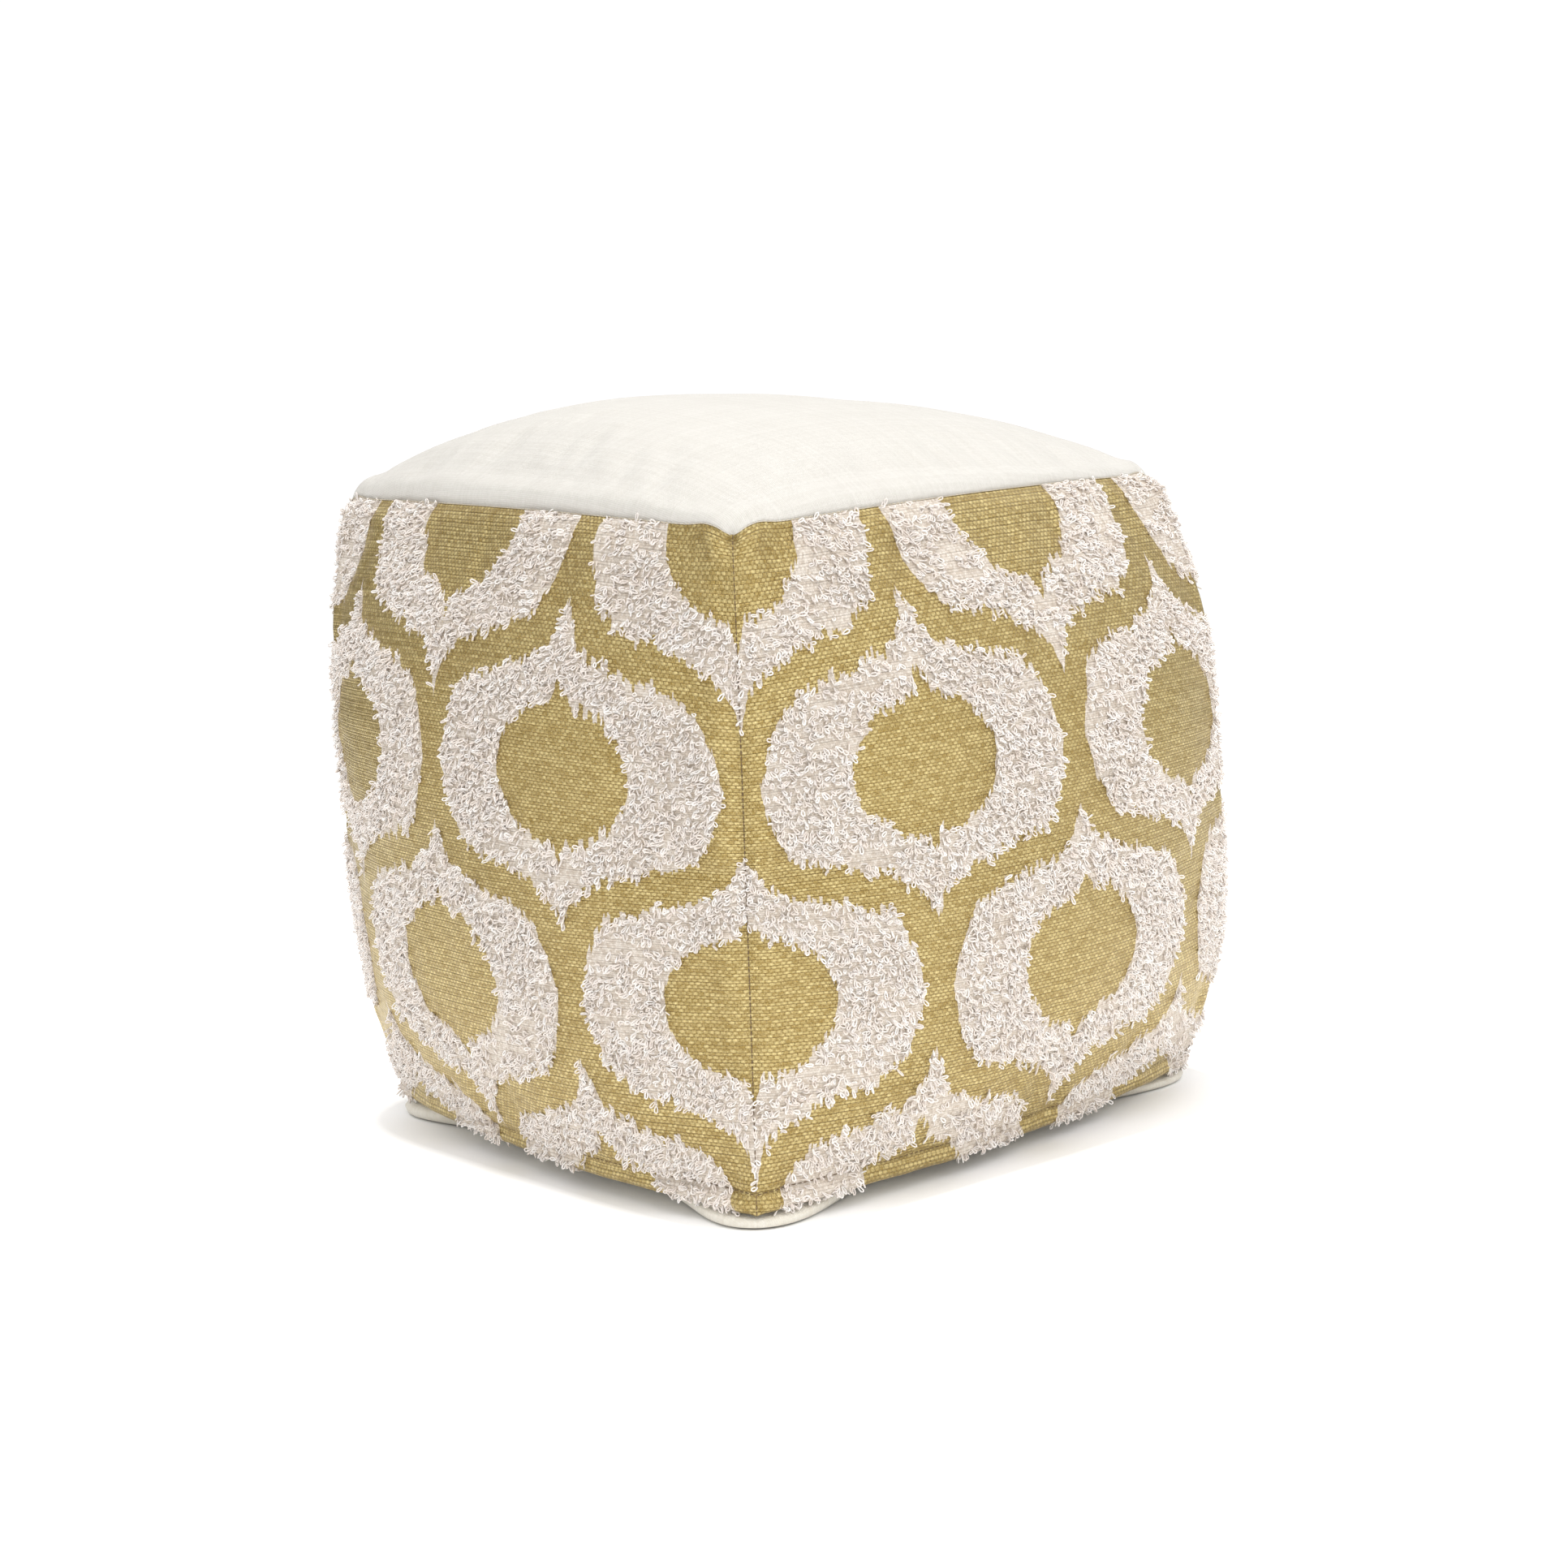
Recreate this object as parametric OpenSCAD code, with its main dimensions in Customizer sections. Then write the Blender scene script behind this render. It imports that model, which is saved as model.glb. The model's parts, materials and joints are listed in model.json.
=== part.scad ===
// Square fabric pouf: a sewn cover of top, four side panels and a zipped base,
// over a lining bag filled with foam beads. Millimetres, +Z up, origin at the
// middle of the underside. The front faces -Y and the right side faces +X.

/* [Cover] */
// Distance between neighbouring corner seams at the top seam and the hem
corner_spacing = 424; // [390:1:430]
// Height of the top seam above the floor
seam_height = 436; // [380:1:470]
// How far each side bows out beyond its corners along the top seam
seam_bow = 18; // [10:1:32]
// How much further each side bellies out at mid height
belly = 45; // [20:1:46]
// How far the corner seams themselves swell out at mid height
corner_swell = 8; // [0:1:18]
// Rise of the domed top above its seam
dome_rise = 52; // [30:1:60]
// Height of the hem, where the base turns up to meet the sides
hem_height = 10; // [8:1:14]
// Distance of the flat of the base in from the hem
base_inset = 14; // [10:1:24]

/* [Cloth] */
// Thickness of the side cloth with its looped pile
side_cloth = 3; // [2:0.5:4]
// Thickness of the plain cloth of the top and the base
plain_cloth = 1.2; // [0.8:0.1:1.6]
// Width of the seam allowances folded inside the cover
allowance = 12; // [8:1:14]
// Thickness of the lining cloth
lining_cloth = 1; // [0.8:0.1:1.2]

/* [Zip] */
// Length of the zip's opening in the base
zip_opening = 340; // [300:4:360]
// Half width of the slot that the zip lies in
slot_half = 8; // [7:0.5:10]
// Spacing of the teeth along each tape
tooth_pitch = 4; // [3:0.5:5]
// How far the slider travels from its closed end
slider_travel = 300; // [200:10:300]

/* [Hidden] */

steps = 16;                 // divisions across a side
levels = 12;                // divisions up a side
bow_power = 2.25;           // how flat the middle of a bowed side is
belly_power = 2.8;            // how flat the middle of the belly is
dome_power = 3.3;           // how flat the middle of the top is
corner_half = corner_spacing / 2;
hem_lap = 12;               // height of the base's turned-up edge inside the sides
hem_stitch_rise = 10;       // height of the stitching above the hem
fold_step = 0.3;            // step between the base's flat and its sloping edge
seam_thread = 0.5;          // radius of the seam stitching
thread_gap = 1.5;           // from the end of a corner's stitching to the stitching it meets
overlock_thread = 2;        // radius of the overlocked edge of a corner seam
thread_sides = 6;

lining_gap = 4.8;           // from the outside of the cover to the lining, mid side
lining_corner_gap = 17.5;   // the same at the corners, clear of the seam allowances
lining_floor = 1.8;         // underside of the lining bag
lining_top = seam_height - 2;
lining_sink = 6;            // how much flatter the lining's dome is than the cover's
lap_clearance = 1;          // from the laps of the top and base to the belly of the lining
bead_gap = 0.4;             // from the lining to the outermost beads

tape_z = 6;                 // underside of the zip tapes
tape_cloth = 0.6;
tape_outer = 14;            // outer edge of a tape from the zip's middle
tape_inner = 3.4;           // inner edge of a tape, where its teeth start
tooth_inner = 0.95;         // inner end of a tooth
tooth_size = 2.4;           // height of a tooth
tooth_thick = 1.6;          // thickness of a tooth along the zip
chain_half = zip_opening / 2 - 14;
groove_half = 17;           // half width of the lining's groove over the zip
groove_top = 10;
groove_end = 6;             // how far the groove runs past each end of the zip

slider_y = slider_travel / 2;
slider_half_l = 5;
slider_half_w = 4.6;
slider_plate = 1.2;
slider_gap = 0.4;           // running gap between the slider and the teeth
teeth_low = tape_z + tape_cloth / 2 - tooth_size / 2;
teeth_high = teeth_low + tooth_size;
plate_low = teeth_low - slider_gap - slider_plate;
plate_high = teeth_high + slider_gap;
pin_z = 2.2;                // height of the pull's pin
pin_r = 0.5;
eye_bore_r = 0.55;
eye_r = 1.05;
pull_length = 18;

white_cloth = [0.93, 0.91, 0.88];
side_gold = [0.78, 0.72, 0.60];
thread_grey = [0.45, 0.40, 0.33];
zip_white = [0.92, 0.91, 0.89];
zip_metal = [0.72, 0.72, 0.70];

// ---- outline of the cover ----

function bow(s) = 1 - pow(abs(s), bow_power);
function crown(s) = 1 - pow(abs(s), dome_power);
function belly_at(t) = 1 - pow(abs(2 * t - 1), belly_power);
function corner_at(t) = corner_half + corner_swell * belly_at(t);
function side_bow_at(t) = seam_bow + (belly - corner_swell) * belly_at(t);
function level_z(t) = hem_height + (seam_height - hem_height) * t;
function turn(p, k) = [p[0] * cos(90 * k) - p[1] * sin(90 * k),
                       p[0] * sin(90 * k) + p[1] * cos(90 * k)];

// Outline of the whole cover at one height, from the front left corner round
// by the right, with its sides and corners drawn in by separate amounts.
function outline(t, side_in, corner_in) =
    let (c = corner_at(t) - corner_in, b = side_bow_at(t) + corner_in - side_in)
    [for (k = [0:3], i = [0:steps - 1]) let (s = -1 + 2 * i / steps)
        turn([s * c, -c - b * bow(s)], k)];
function raise(points, z) = [for (p = points) [p[0], p[1], z]];

// ---- meshes swept through rings of points ----

function band(a, b, n) =
    [for (i = [0:n - 1]) each [[a + i, b + i, a + (i + 1) % n],
                               [a + (i + 1) % n, b + i, b + (i + 1) % n]]];

function turned(faces) = [for (f = faces) [f[2], f[1], f[0]]];

// Closed ring of cloth whose section runs through the given outlines.
module cloth_ring(rings) {
    n = len(rings[0]);
    m = len(rings);
    polyhedron(points = [for (r = rings) each r],
               faces = [for (j = [0:m - 1]) each band(j * n, ((j + 1) % m) * n, n)]);
}

// Solid swept up through the given outlines, closed flat at both ends.
module cloth_stack(rings) {
    n = len(rings[0]);
    m = len(rings);
    bottom = [for (i = [0:n - 1]) i];
    top = [for (i = [0:n - 1]) m * n - 1 - i];
    polyhedron(points = [for (r = rings) each r],
               faces = concat([bottom], [for (j = [0:m - 2]) each band(j * n, (j + 1) * n, n)],
                              [top]),
               convexity = 6);
}

// Points of a domed square grid, drawn in from the top seam.
function dome_grid(z, rise, side_in, corner_in) =
    let (c = corner_half - corner_in, b = seam_bow + corner_in - side_in)
    [for (j = [0:steps], i = [0:steps])
        let (p = -1 + 2 * i / steps, q = -1 + 2 * j / steps)
        [p * (c + b * bow(q)), q * (c + b * bow(p)), z + rise * crown(p) * crown(q)]];
function grid_faces(start, up) =
    [for (j = [0:steps - 1], i = [0:steps - 1])
        let (a = start + j * (steps + 1) + i, b = a + 1, c = b + steps + 1, d = c - 1)
        each (up ? [[a, c, b], [a, d, c]] : [[a, b, c], [a, c, d]])];
// The grid's edge, in the same order as an outline.
function grid_edge(k, i) =
    k == 0 ? i :
    k == 1 ? i * (steps + 1) + steps :
    k == 2 ? steps * (steps + 1) + steps - i :
             (steps - i) * (steps + 1);
function edge_list() = [for (k = [0:3], i = [0:steps - 1]) grid_edge(k, i)];
function stitch(a, b) =
    let (n = len(a))
    [for (i = [0:n - 1]) each [[a[i], b[i], a[(i + 1) % n]],
                               [a[(i + 1) % n], b[i], b[(i + 1) % n]]]];
function shifted(list, by) = [for (v = list) v + by];
function ring_list(start) = [for (i = [0:4 * steps - 1]) start + i];

// Domed panel of cloth: an upper grid, an edge through the given rings and a lower grid.
module domed_panel(upper, rings, lower) {
    g = len(upper);
    n = 4 * steps;
    m = len(rings);
    loops = concat([edge_list()], [for (j = [0:m - 1]) ring_list(g + j * n)],
                   [shifted(edge_list(), g + m * n)]);
    polyhedron(points = concat(upper, [for (r = rings) each r], lower),
               faces = concat(grid_faces(0, true),
                              [for (j = [0:m]) each stitch(loops[j + 1], loops[j])],
                              grid_faces(g + m * n, false)));
}

// Thread or edging: a thin tube along a path, closed on itself or with two ends.
module thread(path, r, closed_path) {
    n = len(path);
    rings = [for (i = [0:n - 1])
        let (before = path[closed_path ? (i + n - 1) % n : max(i - 1, 0)],
             after = path[closed_path ? (i + 1) % n : min(i + 1, n - 1)],
             along = (after - before) / norm(after - before),
             flat = abs(along[2]) < 0.7 ? [0, 0, 1] : [path[i][1], -path[i][0], 0],
             u = cross(along, flat) / norm(cross(along, flat)),
             v = cross(along, u))
        [for (a = [0:thread_sides - 1])
            path[i] + r * (cos(360 * a / thread_sides) * u + sin(360 * a / thread_sides) * v)]];
    if (closed_path) cloth_ring(rings);
    else cloth_stack(rings);
}

// ---- sewn cover ----

// Section of the front panel at one height, with both corner allowances turned in.
function panel_section(t) =
    let (c = corner_at(t), b = side_bow_at(t), d = sqrt(0.5),
         end = [c, -c] + allowance * [-d, d],
         step = side_cloth * [-d, -d],
         root = [c - side_cloth * (1 + sqrt(2)), -c + side_cloth],
         outer = [for (i = [0:steps]) let (s = -1 + 2 * i / steps) [s * c, -c - b * bow(s)]],
         inner = [for (i = [steps - 1:-1:1]) let (s = -1 + 2 * i / steps)
                     [s * (c - side_cloth), -c + side_cloth - b * bow(s)]],
         right = [end, end + step, root])
    raise(concat(outer, right, inner,
                 [for (i = [2:-1:0]) [-right[i][0], right[i][1]]]), level_z(t));

module side_panel(k) {
    color(side_gold)
        rotate([0, 0, 90 * k])
            cloth_stack([for (j = [0:levels]) panel_section(j / levels)]);
}

module top_panel() {
    inner = side_cloth + plain_cloth;
    slot_low = seam_height - allowance;
    color(white_cloth)
        domed_panel(dome_grid(seam_height + plain_cloth, dome_rise, 0, 0),
                    [raise(outline(1, 0, 0), seam_height),
                     raise(outline(1, side_cloth, side_cloth), seam_height),
                     raise(outline(1, side_cloth, side_cloth + allowance), slot_low),
                     raise(outline(1, inner, inner + allowance), slot_low)],
                    dome_grid(seam_height, dome_rise, inner, inner + allowance));
}

// Flat of the base, drawn in from the hem by a given amount.
function flat_outline(in) = outline(0, in, in);

// The base's sloping edge, and the lap that it turns up inside the sides.
module base_skirt() {
    lap_in = side_cloth + 0.02;
    inner = side_cloth + plain_cloth;
    lap_top = hem_height + hem_lap;
    cloth_ring([raise(flat_outline(base_inset + fold_step), fold_step),
                raise(outline(0, 0, 0), hem_height - 0.02),
                raise(outline(0, lap_in, lap_in + allowance), hem_height - 0.02),
                raise(outline(0, lap_in, lap_in + allowance), lap_top),
                raise(outline(0, inner, inner + allowance), lap_top),
                raise(outline(0, inner, inner + allowance), hem_height),
                raise(flat_outline(base_inset + 2 * plain_cloth), plain_cloth - fold_step)]);
}

module base_panel(side) {
    reach = 2 * corner_half;
    slot = [2 * slot_half, zip_opening];
    color(white_cloth)
        difference() {
            union() {
                linear_extrude(plain_cloth) polygon(flat_outline(base_inset));
                base_skirt();
                translate([0, 0, (tape_z + fold_step) / 2])
                    cube([slot[0] + 2 * plain_cloth, slot[1] + 2 * plain_cloth,
                          tape_z - fold_step], center = true);
            }
            cube([slot[0], slot[1], 4 * tape_z], center = true);
            translate([side < 0 ? 0 : -reach, -reach, -1]) cube([reach, 2 * reach, seam_height]);
        }
}

// ---- stitching ----

// Runs between the stitching of the hem and of the top seam.
module corner_stitching() {
    height = seam_height - hem_height;
    ends = [(hem_stitch_rise + thread_gap) / height, 1 - thread_gap / height];
    shares = concat([ends[0]], [for (j = [1:levels - 1]) j / levels], [ends[1]]);
    color(thread_grey)
        for (k = [0:3])
            thread([for (t = shares)
                let (c = corner_at(t) + seam_thread * sqrt(0.5), p = turn([c, -c], k))
                [p[0], p[1], level_z(t)]],
                   seam_thread, false);
}

module corner_overlock() {
    in = (allowance + overlock_thread) * sqrt(0.5);
    color(white_cloth)
        for (k = [0:3])
            thread([for (j = [1:levels - 1])
                let (t = j / levels, c = corner_at(t) - in, p = turn([c, -c], k))
                [p[0], p[1], level_z(t)]],
                   overlock_thread, false);
}

module top_stitching() {
    out = -seam_thread;
    color(thread_grey)
        thread(raise(outline(1, out, out), seam_height), seam_thread, true);
}

// Lies on the facets of the side panels, between their two lowest sections.
module hem_stitching() {
    out = -seam_thread - 0.2;
    low = outline(0, out, out);
    high = outline(1 / levels, out, out);
    n = len(low);
    share = hem_stitch_rise * levels / (seam_height - hem_height);
    path = [for (i = [0:n - 1], j = [i, i + 1]) (1 - share) * low[j % n] + share * high[i]];
    color(thread_grey)
        thread(raise(path, hem_height + hem_stitch_rise), seam_thread, true);
}

// ---- zip ----

module zip_tape(side) {
    half_l = zip_opening / 2 + 2;
    width = tape_outer - tape_inner;
    color(zip_white)
        translate([side * (tape_inner + width / 2), 0, tape_z + tape_cloth / 2])
            cube([width, 2 * half_l, tape_cloth], center = true);
}

module zip_teeth(side) {
    width = tape_inner - tooth_inner;
    shift = side > 0 ? tooth_pitch / 2 : 0;
    color(zip_white)
        for (y = [-chain_half:tooth_pitch:chain_half - tooth_pitch])
            translate([side * (tooth_inner + width / 2), y + shift, (teeth_low + teeth_high) / 2])
                cube([width, tooth_thick, tooth_size], center = true);
}

// Metal stops at the ends of the chain: a pair at the closed end, a bar at the open end.
module zip_top_stop() {
    color(zip_metal)
        for (side = [-1, 1])
            translate([side * 2.2, chain_half + 2.5, (teeth_low + teeth_high) / 2])
                cube([2.4, 3, tooth_size], center = true);
}

module zip_bottom_stop() {
    color(zip_metal)
        translate([0, -chain_half - 3.5, (teeth_low + teeth_high) / 2])
            cube([6.8, 3, tooth_size], center = true);
}

module zip_stitching() {
    half_l = zip_opening / 2;
    color(thread_grey)
        for (side = [-1, 1])
            translate([side * (slot_half + plain_cloth / 2), -half_l, tape_z + tape_cloth + 0.3])
                rotate([-90, 0, 0]) cylinder(r = 0.3, h = 2 * half_l, $fn = 24);
}

// Two plates either side of the chain, joined by the post between the rows of teeth.
module zip_slider() {
    flange = 0.7;
    tape_gap = 0.35;
    color(zip_metal)
        translate([0, slider_y, 0]) {
            difference() {
                translate([-slider_half_w, -slider_half_l, plate_low])
                    cube([2 * slider_half_w, 2 * slider_half_l,
                          plate_high + slider_plate - plate_low]);
                translate([-slider_half_w + flange, -9, plate_low + slider_plate])
                    cube([2 * (slider_half_w - flange), 18, plate_high - plate_low - slider_plate]);
                translate([-9, -9, tape_z - tape_gap])
                    cube([18, 18, tape_cloth + 2 * tape_gap]);
            }
            translate([0, slider_half_l - 2, (plate_low + plate_high) / 2 + slider_plate / 2])
                cube([2 * (tooth_inner - 0.35), 3, plate_high - plate_low], center = true);
            for (side = [-1, 1])
                translate([side * 2.45, 0, (1.1 + plate_low) / 2 + 0.1])
                    cube([0.9, 2.4, plate_low - 1.1 + 0.2], center = true);
            translate([-2.4, 0, pin_z]) rotate([0, 90, 0]) cylinder(r = pin_r, h = 4.8, $fn = 32);
        }
}

module zip_pull() {
    tab_z = pin_z - 0.5;
    color(zip_metal)
        translate([0, slider_y, 0])
            difference() {
                union() {
                    translate([-1.6, 0, pin_z]) rotate([0, 90, 0])
                        cylinder(r = eye_r, h = 3.2, $fn = 48);
                    translate([-1.6, -4, tab_z]) cube([3.2, 4, 1]);
                    translate([0, 0, tab_z])
                        linear_extrude(1) difference() {
                            polygon([[-1.6, -3.5], [-2.6, -5], [-2.6, -pull_length + 2],
                                     [-1.2, -pull_length], [1.2, -pull_length],
                                     [2.6, -pull_length + 2], [2.6, -5], [1.6, -3.5]]);
                            translate([-1.2, -pull_length + 3]) square([2.4, 7]);
                        }
                }
                translate([-3, 0, pin_z]) rotate([0, 90, 0])
                    cylinder(r = eye_bore_r, h = 6, $fn = 48);
            }
}

// ---- lining bag and filling ----

function lining_outline(t, more) = outline(t, lining_gap + more, lining_corner_gap + more);
function lining_low(more) = outline(0, base_inset + 3 + more, base_inset + 3 + more);

// Clearance over the zip, cut from the lining and the beads.
module zip_groove(top) {
    half_l = zip_opening / 2 + groove_end;
    translate([-groove_half, -half_l, -1]) cube([2 * groove_half, 2 * half_l, top + 1]);
}

// The lining's walls, from its flat base up to the seam of its domed top, between
// two heights.
function lining_walls(more, low, high) =
    concat([raise(lining_low(more), low), raise(lining_outline(0, more), hem_height + 3),
            raise(lining_outline(0, more), hem_height + hem_lap + lap_clearance)],
           [for (j = [1:levels - 1]) raise(lining_outline(j / levels, more), level_z(j / levels))],
           [raise(lining_outline(1, more), seam_height - allowance - lap_clearance),
            raise(lining_outline(1, more), high)]);

module liner_sides() {
    outer = lining_walls(0, lining_floor + lining_cloth, lining_top);
    inner = lining_walls(lining_cloth, lining_floor + lining_cloth, lining_top);
    m = len(inner);
    color(white_cloth)
        cloth_ring(concat(outer, [for (j = [0:m - 1]) inner[m - 1 - j]]));
}

module liner_top() {
    color(white_cloth)
        domed_panel(dome_grid(lining_top + lining_cloth, dome_rise - lining_sink,
                              lining_gap, lining_corner_gap),
                    [raise(lining_outline(1, 0), lining_top)],
                    dome_grid(lining_top, dome_rise - lining_sink,
                              lining_gap + lining_cloth, lining_corner_gap + lining_cloth));
}

module liner_base() {
    color(white_cloth)
        translate([0, 0, lining_floor])
            linear_extrude(lining_cloth)
                difference() {
                    polygon(lining_low(0));
                    square([2 * groove_half, zip_opening + 2 * groove_end], center = true);
                }
}

module bead_filling() {
    more = lining_cloth + bead_gap;
    walls = lining_walls(more, lining_floor + more, lining_top - 2 * bead_gap);
    m = len(walls);
    n = 4 * steps;
    domed = dome_grid(lining_top - bead_gap, dome_rise - lining_sink,
                      lining_gap + more, lining_corner_gap + more);
    rim = shifted(edge_list(), m * n);
    color([0.97, 0.97, 0.96])
        difference() {
            polyhedron(points = concat([for (r = walls) each r], domed),
                       faces = concat([[for (i = [0:n - 1]) i]],
                                      [for (j = [0:m - 2])
                                          each turned(band((j + 1) * n, j * n, n))],
                                      stitch(ring_list((m - 1) * n), rim),
                                      grid_faces(m * n, true)));
            zip_groove(groove_top);
        }
}

top_panel();
side_panel(0);  // side_panel_front
side_panel(1);  // side_panel_right
side_panel(2);  // side_panel_back
side_panel(3);  // side_panel_left
base_panel(-1);  // base_panel_left
base_panel(1);  // base_panel_right
corner_stitching();
top_stitching();
hem_stitching();
corner_overlock();
zip_tape(-1);  // zip_tape_left
zip_tape(1);  // zip_tape_right
zip_teeth(-1);  // zip_teeth_left
zip_teeth(1);  // zip_teeth_right
zip_top_stop();
zip_bottom_stop();
zip_stitching();
zip_slider();
zip_pull();
liner_top();
liner_sides();
liner_base();
bead_filling();
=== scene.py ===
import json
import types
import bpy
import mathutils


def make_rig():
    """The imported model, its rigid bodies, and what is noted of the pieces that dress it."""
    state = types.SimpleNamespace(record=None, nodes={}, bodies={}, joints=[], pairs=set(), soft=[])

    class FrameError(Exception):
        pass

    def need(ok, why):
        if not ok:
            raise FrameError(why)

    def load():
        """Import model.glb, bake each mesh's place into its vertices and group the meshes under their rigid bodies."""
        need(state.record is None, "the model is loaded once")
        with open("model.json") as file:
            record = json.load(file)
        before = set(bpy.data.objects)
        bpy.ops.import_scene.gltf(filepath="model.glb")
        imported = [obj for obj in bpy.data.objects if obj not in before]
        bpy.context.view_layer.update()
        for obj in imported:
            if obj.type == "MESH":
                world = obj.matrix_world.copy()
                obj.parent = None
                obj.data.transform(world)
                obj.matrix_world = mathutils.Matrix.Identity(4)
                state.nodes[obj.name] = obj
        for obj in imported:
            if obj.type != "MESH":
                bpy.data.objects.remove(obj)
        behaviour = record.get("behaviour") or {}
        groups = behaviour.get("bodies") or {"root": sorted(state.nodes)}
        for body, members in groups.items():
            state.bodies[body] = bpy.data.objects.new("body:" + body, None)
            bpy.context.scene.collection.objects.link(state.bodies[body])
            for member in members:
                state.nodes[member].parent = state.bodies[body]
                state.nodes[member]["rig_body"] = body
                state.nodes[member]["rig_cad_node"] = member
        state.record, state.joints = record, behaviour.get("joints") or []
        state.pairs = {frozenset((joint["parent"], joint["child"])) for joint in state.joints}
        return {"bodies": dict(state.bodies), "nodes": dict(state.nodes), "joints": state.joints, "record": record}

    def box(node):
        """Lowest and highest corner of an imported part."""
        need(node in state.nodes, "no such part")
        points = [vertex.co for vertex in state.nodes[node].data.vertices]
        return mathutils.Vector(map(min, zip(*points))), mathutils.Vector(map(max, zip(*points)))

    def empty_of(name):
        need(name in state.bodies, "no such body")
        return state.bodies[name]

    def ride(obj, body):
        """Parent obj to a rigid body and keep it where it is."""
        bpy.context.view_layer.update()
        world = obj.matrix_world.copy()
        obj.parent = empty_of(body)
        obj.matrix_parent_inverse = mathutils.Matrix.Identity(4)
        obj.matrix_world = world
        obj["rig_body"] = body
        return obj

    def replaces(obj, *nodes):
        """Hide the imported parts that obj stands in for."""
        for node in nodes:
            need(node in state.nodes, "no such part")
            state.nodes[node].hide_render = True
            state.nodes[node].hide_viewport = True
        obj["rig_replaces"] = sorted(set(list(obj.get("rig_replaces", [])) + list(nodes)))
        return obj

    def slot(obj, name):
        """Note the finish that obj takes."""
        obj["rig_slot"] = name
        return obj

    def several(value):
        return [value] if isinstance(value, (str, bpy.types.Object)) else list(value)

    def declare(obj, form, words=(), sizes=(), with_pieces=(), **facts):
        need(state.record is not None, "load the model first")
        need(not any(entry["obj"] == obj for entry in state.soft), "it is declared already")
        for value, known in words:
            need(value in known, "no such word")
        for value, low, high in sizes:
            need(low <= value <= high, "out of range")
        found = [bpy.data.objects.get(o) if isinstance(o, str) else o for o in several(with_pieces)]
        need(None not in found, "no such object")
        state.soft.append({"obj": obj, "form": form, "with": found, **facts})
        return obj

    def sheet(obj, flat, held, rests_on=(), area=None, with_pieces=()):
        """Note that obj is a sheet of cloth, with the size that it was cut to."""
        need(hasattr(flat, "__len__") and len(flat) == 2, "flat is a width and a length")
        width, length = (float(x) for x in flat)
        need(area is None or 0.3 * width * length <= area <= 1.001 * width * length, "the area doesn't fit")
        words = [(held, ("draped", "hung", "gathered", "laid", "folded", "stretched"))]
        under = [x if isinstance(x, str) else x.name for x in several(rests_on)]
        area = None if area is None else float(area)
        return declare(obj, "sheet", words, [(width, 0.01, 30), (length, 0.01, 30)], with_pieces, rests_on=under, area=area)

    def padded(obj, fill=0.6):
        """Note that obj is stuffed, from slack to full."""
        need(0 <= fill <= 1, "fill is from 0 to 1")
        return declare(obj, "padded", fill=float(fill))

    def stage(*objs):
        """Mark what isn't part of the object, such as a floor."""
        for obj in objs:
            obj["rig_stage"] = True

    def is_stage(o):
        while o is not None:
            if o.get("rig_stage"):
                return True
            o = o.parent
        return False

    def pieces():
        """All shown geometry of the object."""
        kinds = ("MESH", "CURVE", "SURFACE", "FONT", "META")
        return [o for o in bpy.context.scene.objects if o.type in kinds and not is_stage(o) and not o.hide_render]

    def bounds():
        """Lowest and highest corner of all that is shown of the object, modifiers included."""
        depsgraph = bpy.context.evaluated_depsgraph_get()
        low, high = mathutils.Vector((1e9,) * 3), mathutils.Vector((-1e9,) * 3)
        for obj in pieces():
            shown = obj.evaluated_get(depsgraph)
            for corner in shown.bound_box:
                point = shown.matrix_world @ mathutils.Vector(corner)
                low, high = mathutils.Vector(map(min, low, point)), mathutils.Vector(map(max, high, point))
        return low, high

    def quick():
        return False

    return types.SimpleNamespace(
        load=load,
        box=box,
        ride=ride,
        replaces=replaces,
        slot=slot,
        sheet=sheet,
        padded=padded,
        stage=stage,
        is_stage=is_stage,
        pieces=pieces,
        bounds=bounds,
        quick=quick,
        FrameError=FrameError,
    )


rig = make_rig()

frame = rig.load()

import json
import math

import bmesh
import bpy
import numpy as np
from mathutils import Matrix

# Looks of the square fabric pouf, built around its CAD frame. Lengths are in millimetres
# until a mesh is made, and +Z is up. Sides are numbered round from the front (-Y) by the
# right (+X), and a place on a side is (s, w): s runs from -1 at its left corner to 1 at its
# right corner, and w from 0 at the top seam to 1 at the hem.

MM = 0.001
cad_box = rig.bounds()
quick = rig.quick()

SIDES = ("front", "right", "back", "left")
PANEL_WIDTH = 457.0
PANEL_DROP = 439.0
CLOTH = 1.4

# Each corner seam: its foot at the hem, its place at mid height and its top.
CORNER_SEAMS = (
    ((-210, -194, 12), (-219, -221), (-219, -200, 440)),
    ((213, -216, 10), (221, -216), (218, -209, 434)),
    ((161, 219, 8), (208, 219), (163, 208, 429)),
    ((-206, 203, 10), (-219, 219), (-206, 203, 436)),
)
BOW_AT_HEM, BOW_AT_TOP, BELLY = 22.0, 17.0, 36.0
BOW_POWER, BELLY_POWER, CROWN_POWER = 2.25, 2.8, 2.6
DOME_RISE, DOME_LEAN = 44.0, 0.3

HEM_BAND = 12.0
SEAM_DIP = 2.0
NOTCH_DIP = 4.0
NOTCH_DROP = 4.5
SEAM_REACH = 4.5

# The cloth simulation of each panel.
SIM_CELLS, SIM_FRAMES = 64, 20
SIM_SWELL, SIM_CAP = 4.6, 6.0
SIM_SLACK, SIM_PRESSURE = 0.01, 2.0

# The woven pattern repeats over two columns and one drop.
COLUMN = 127.4
REPEAT = 305.6
COLUMNS_PER_SIDE = PANEL_WIDTH / COLUMN
PATTERN_TOP = 0.012
THREAD_PITCH = 1.6
STITCH_PITCH = 2.3


# ---- sums that work on arrays and on shader sockets ----

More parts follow.
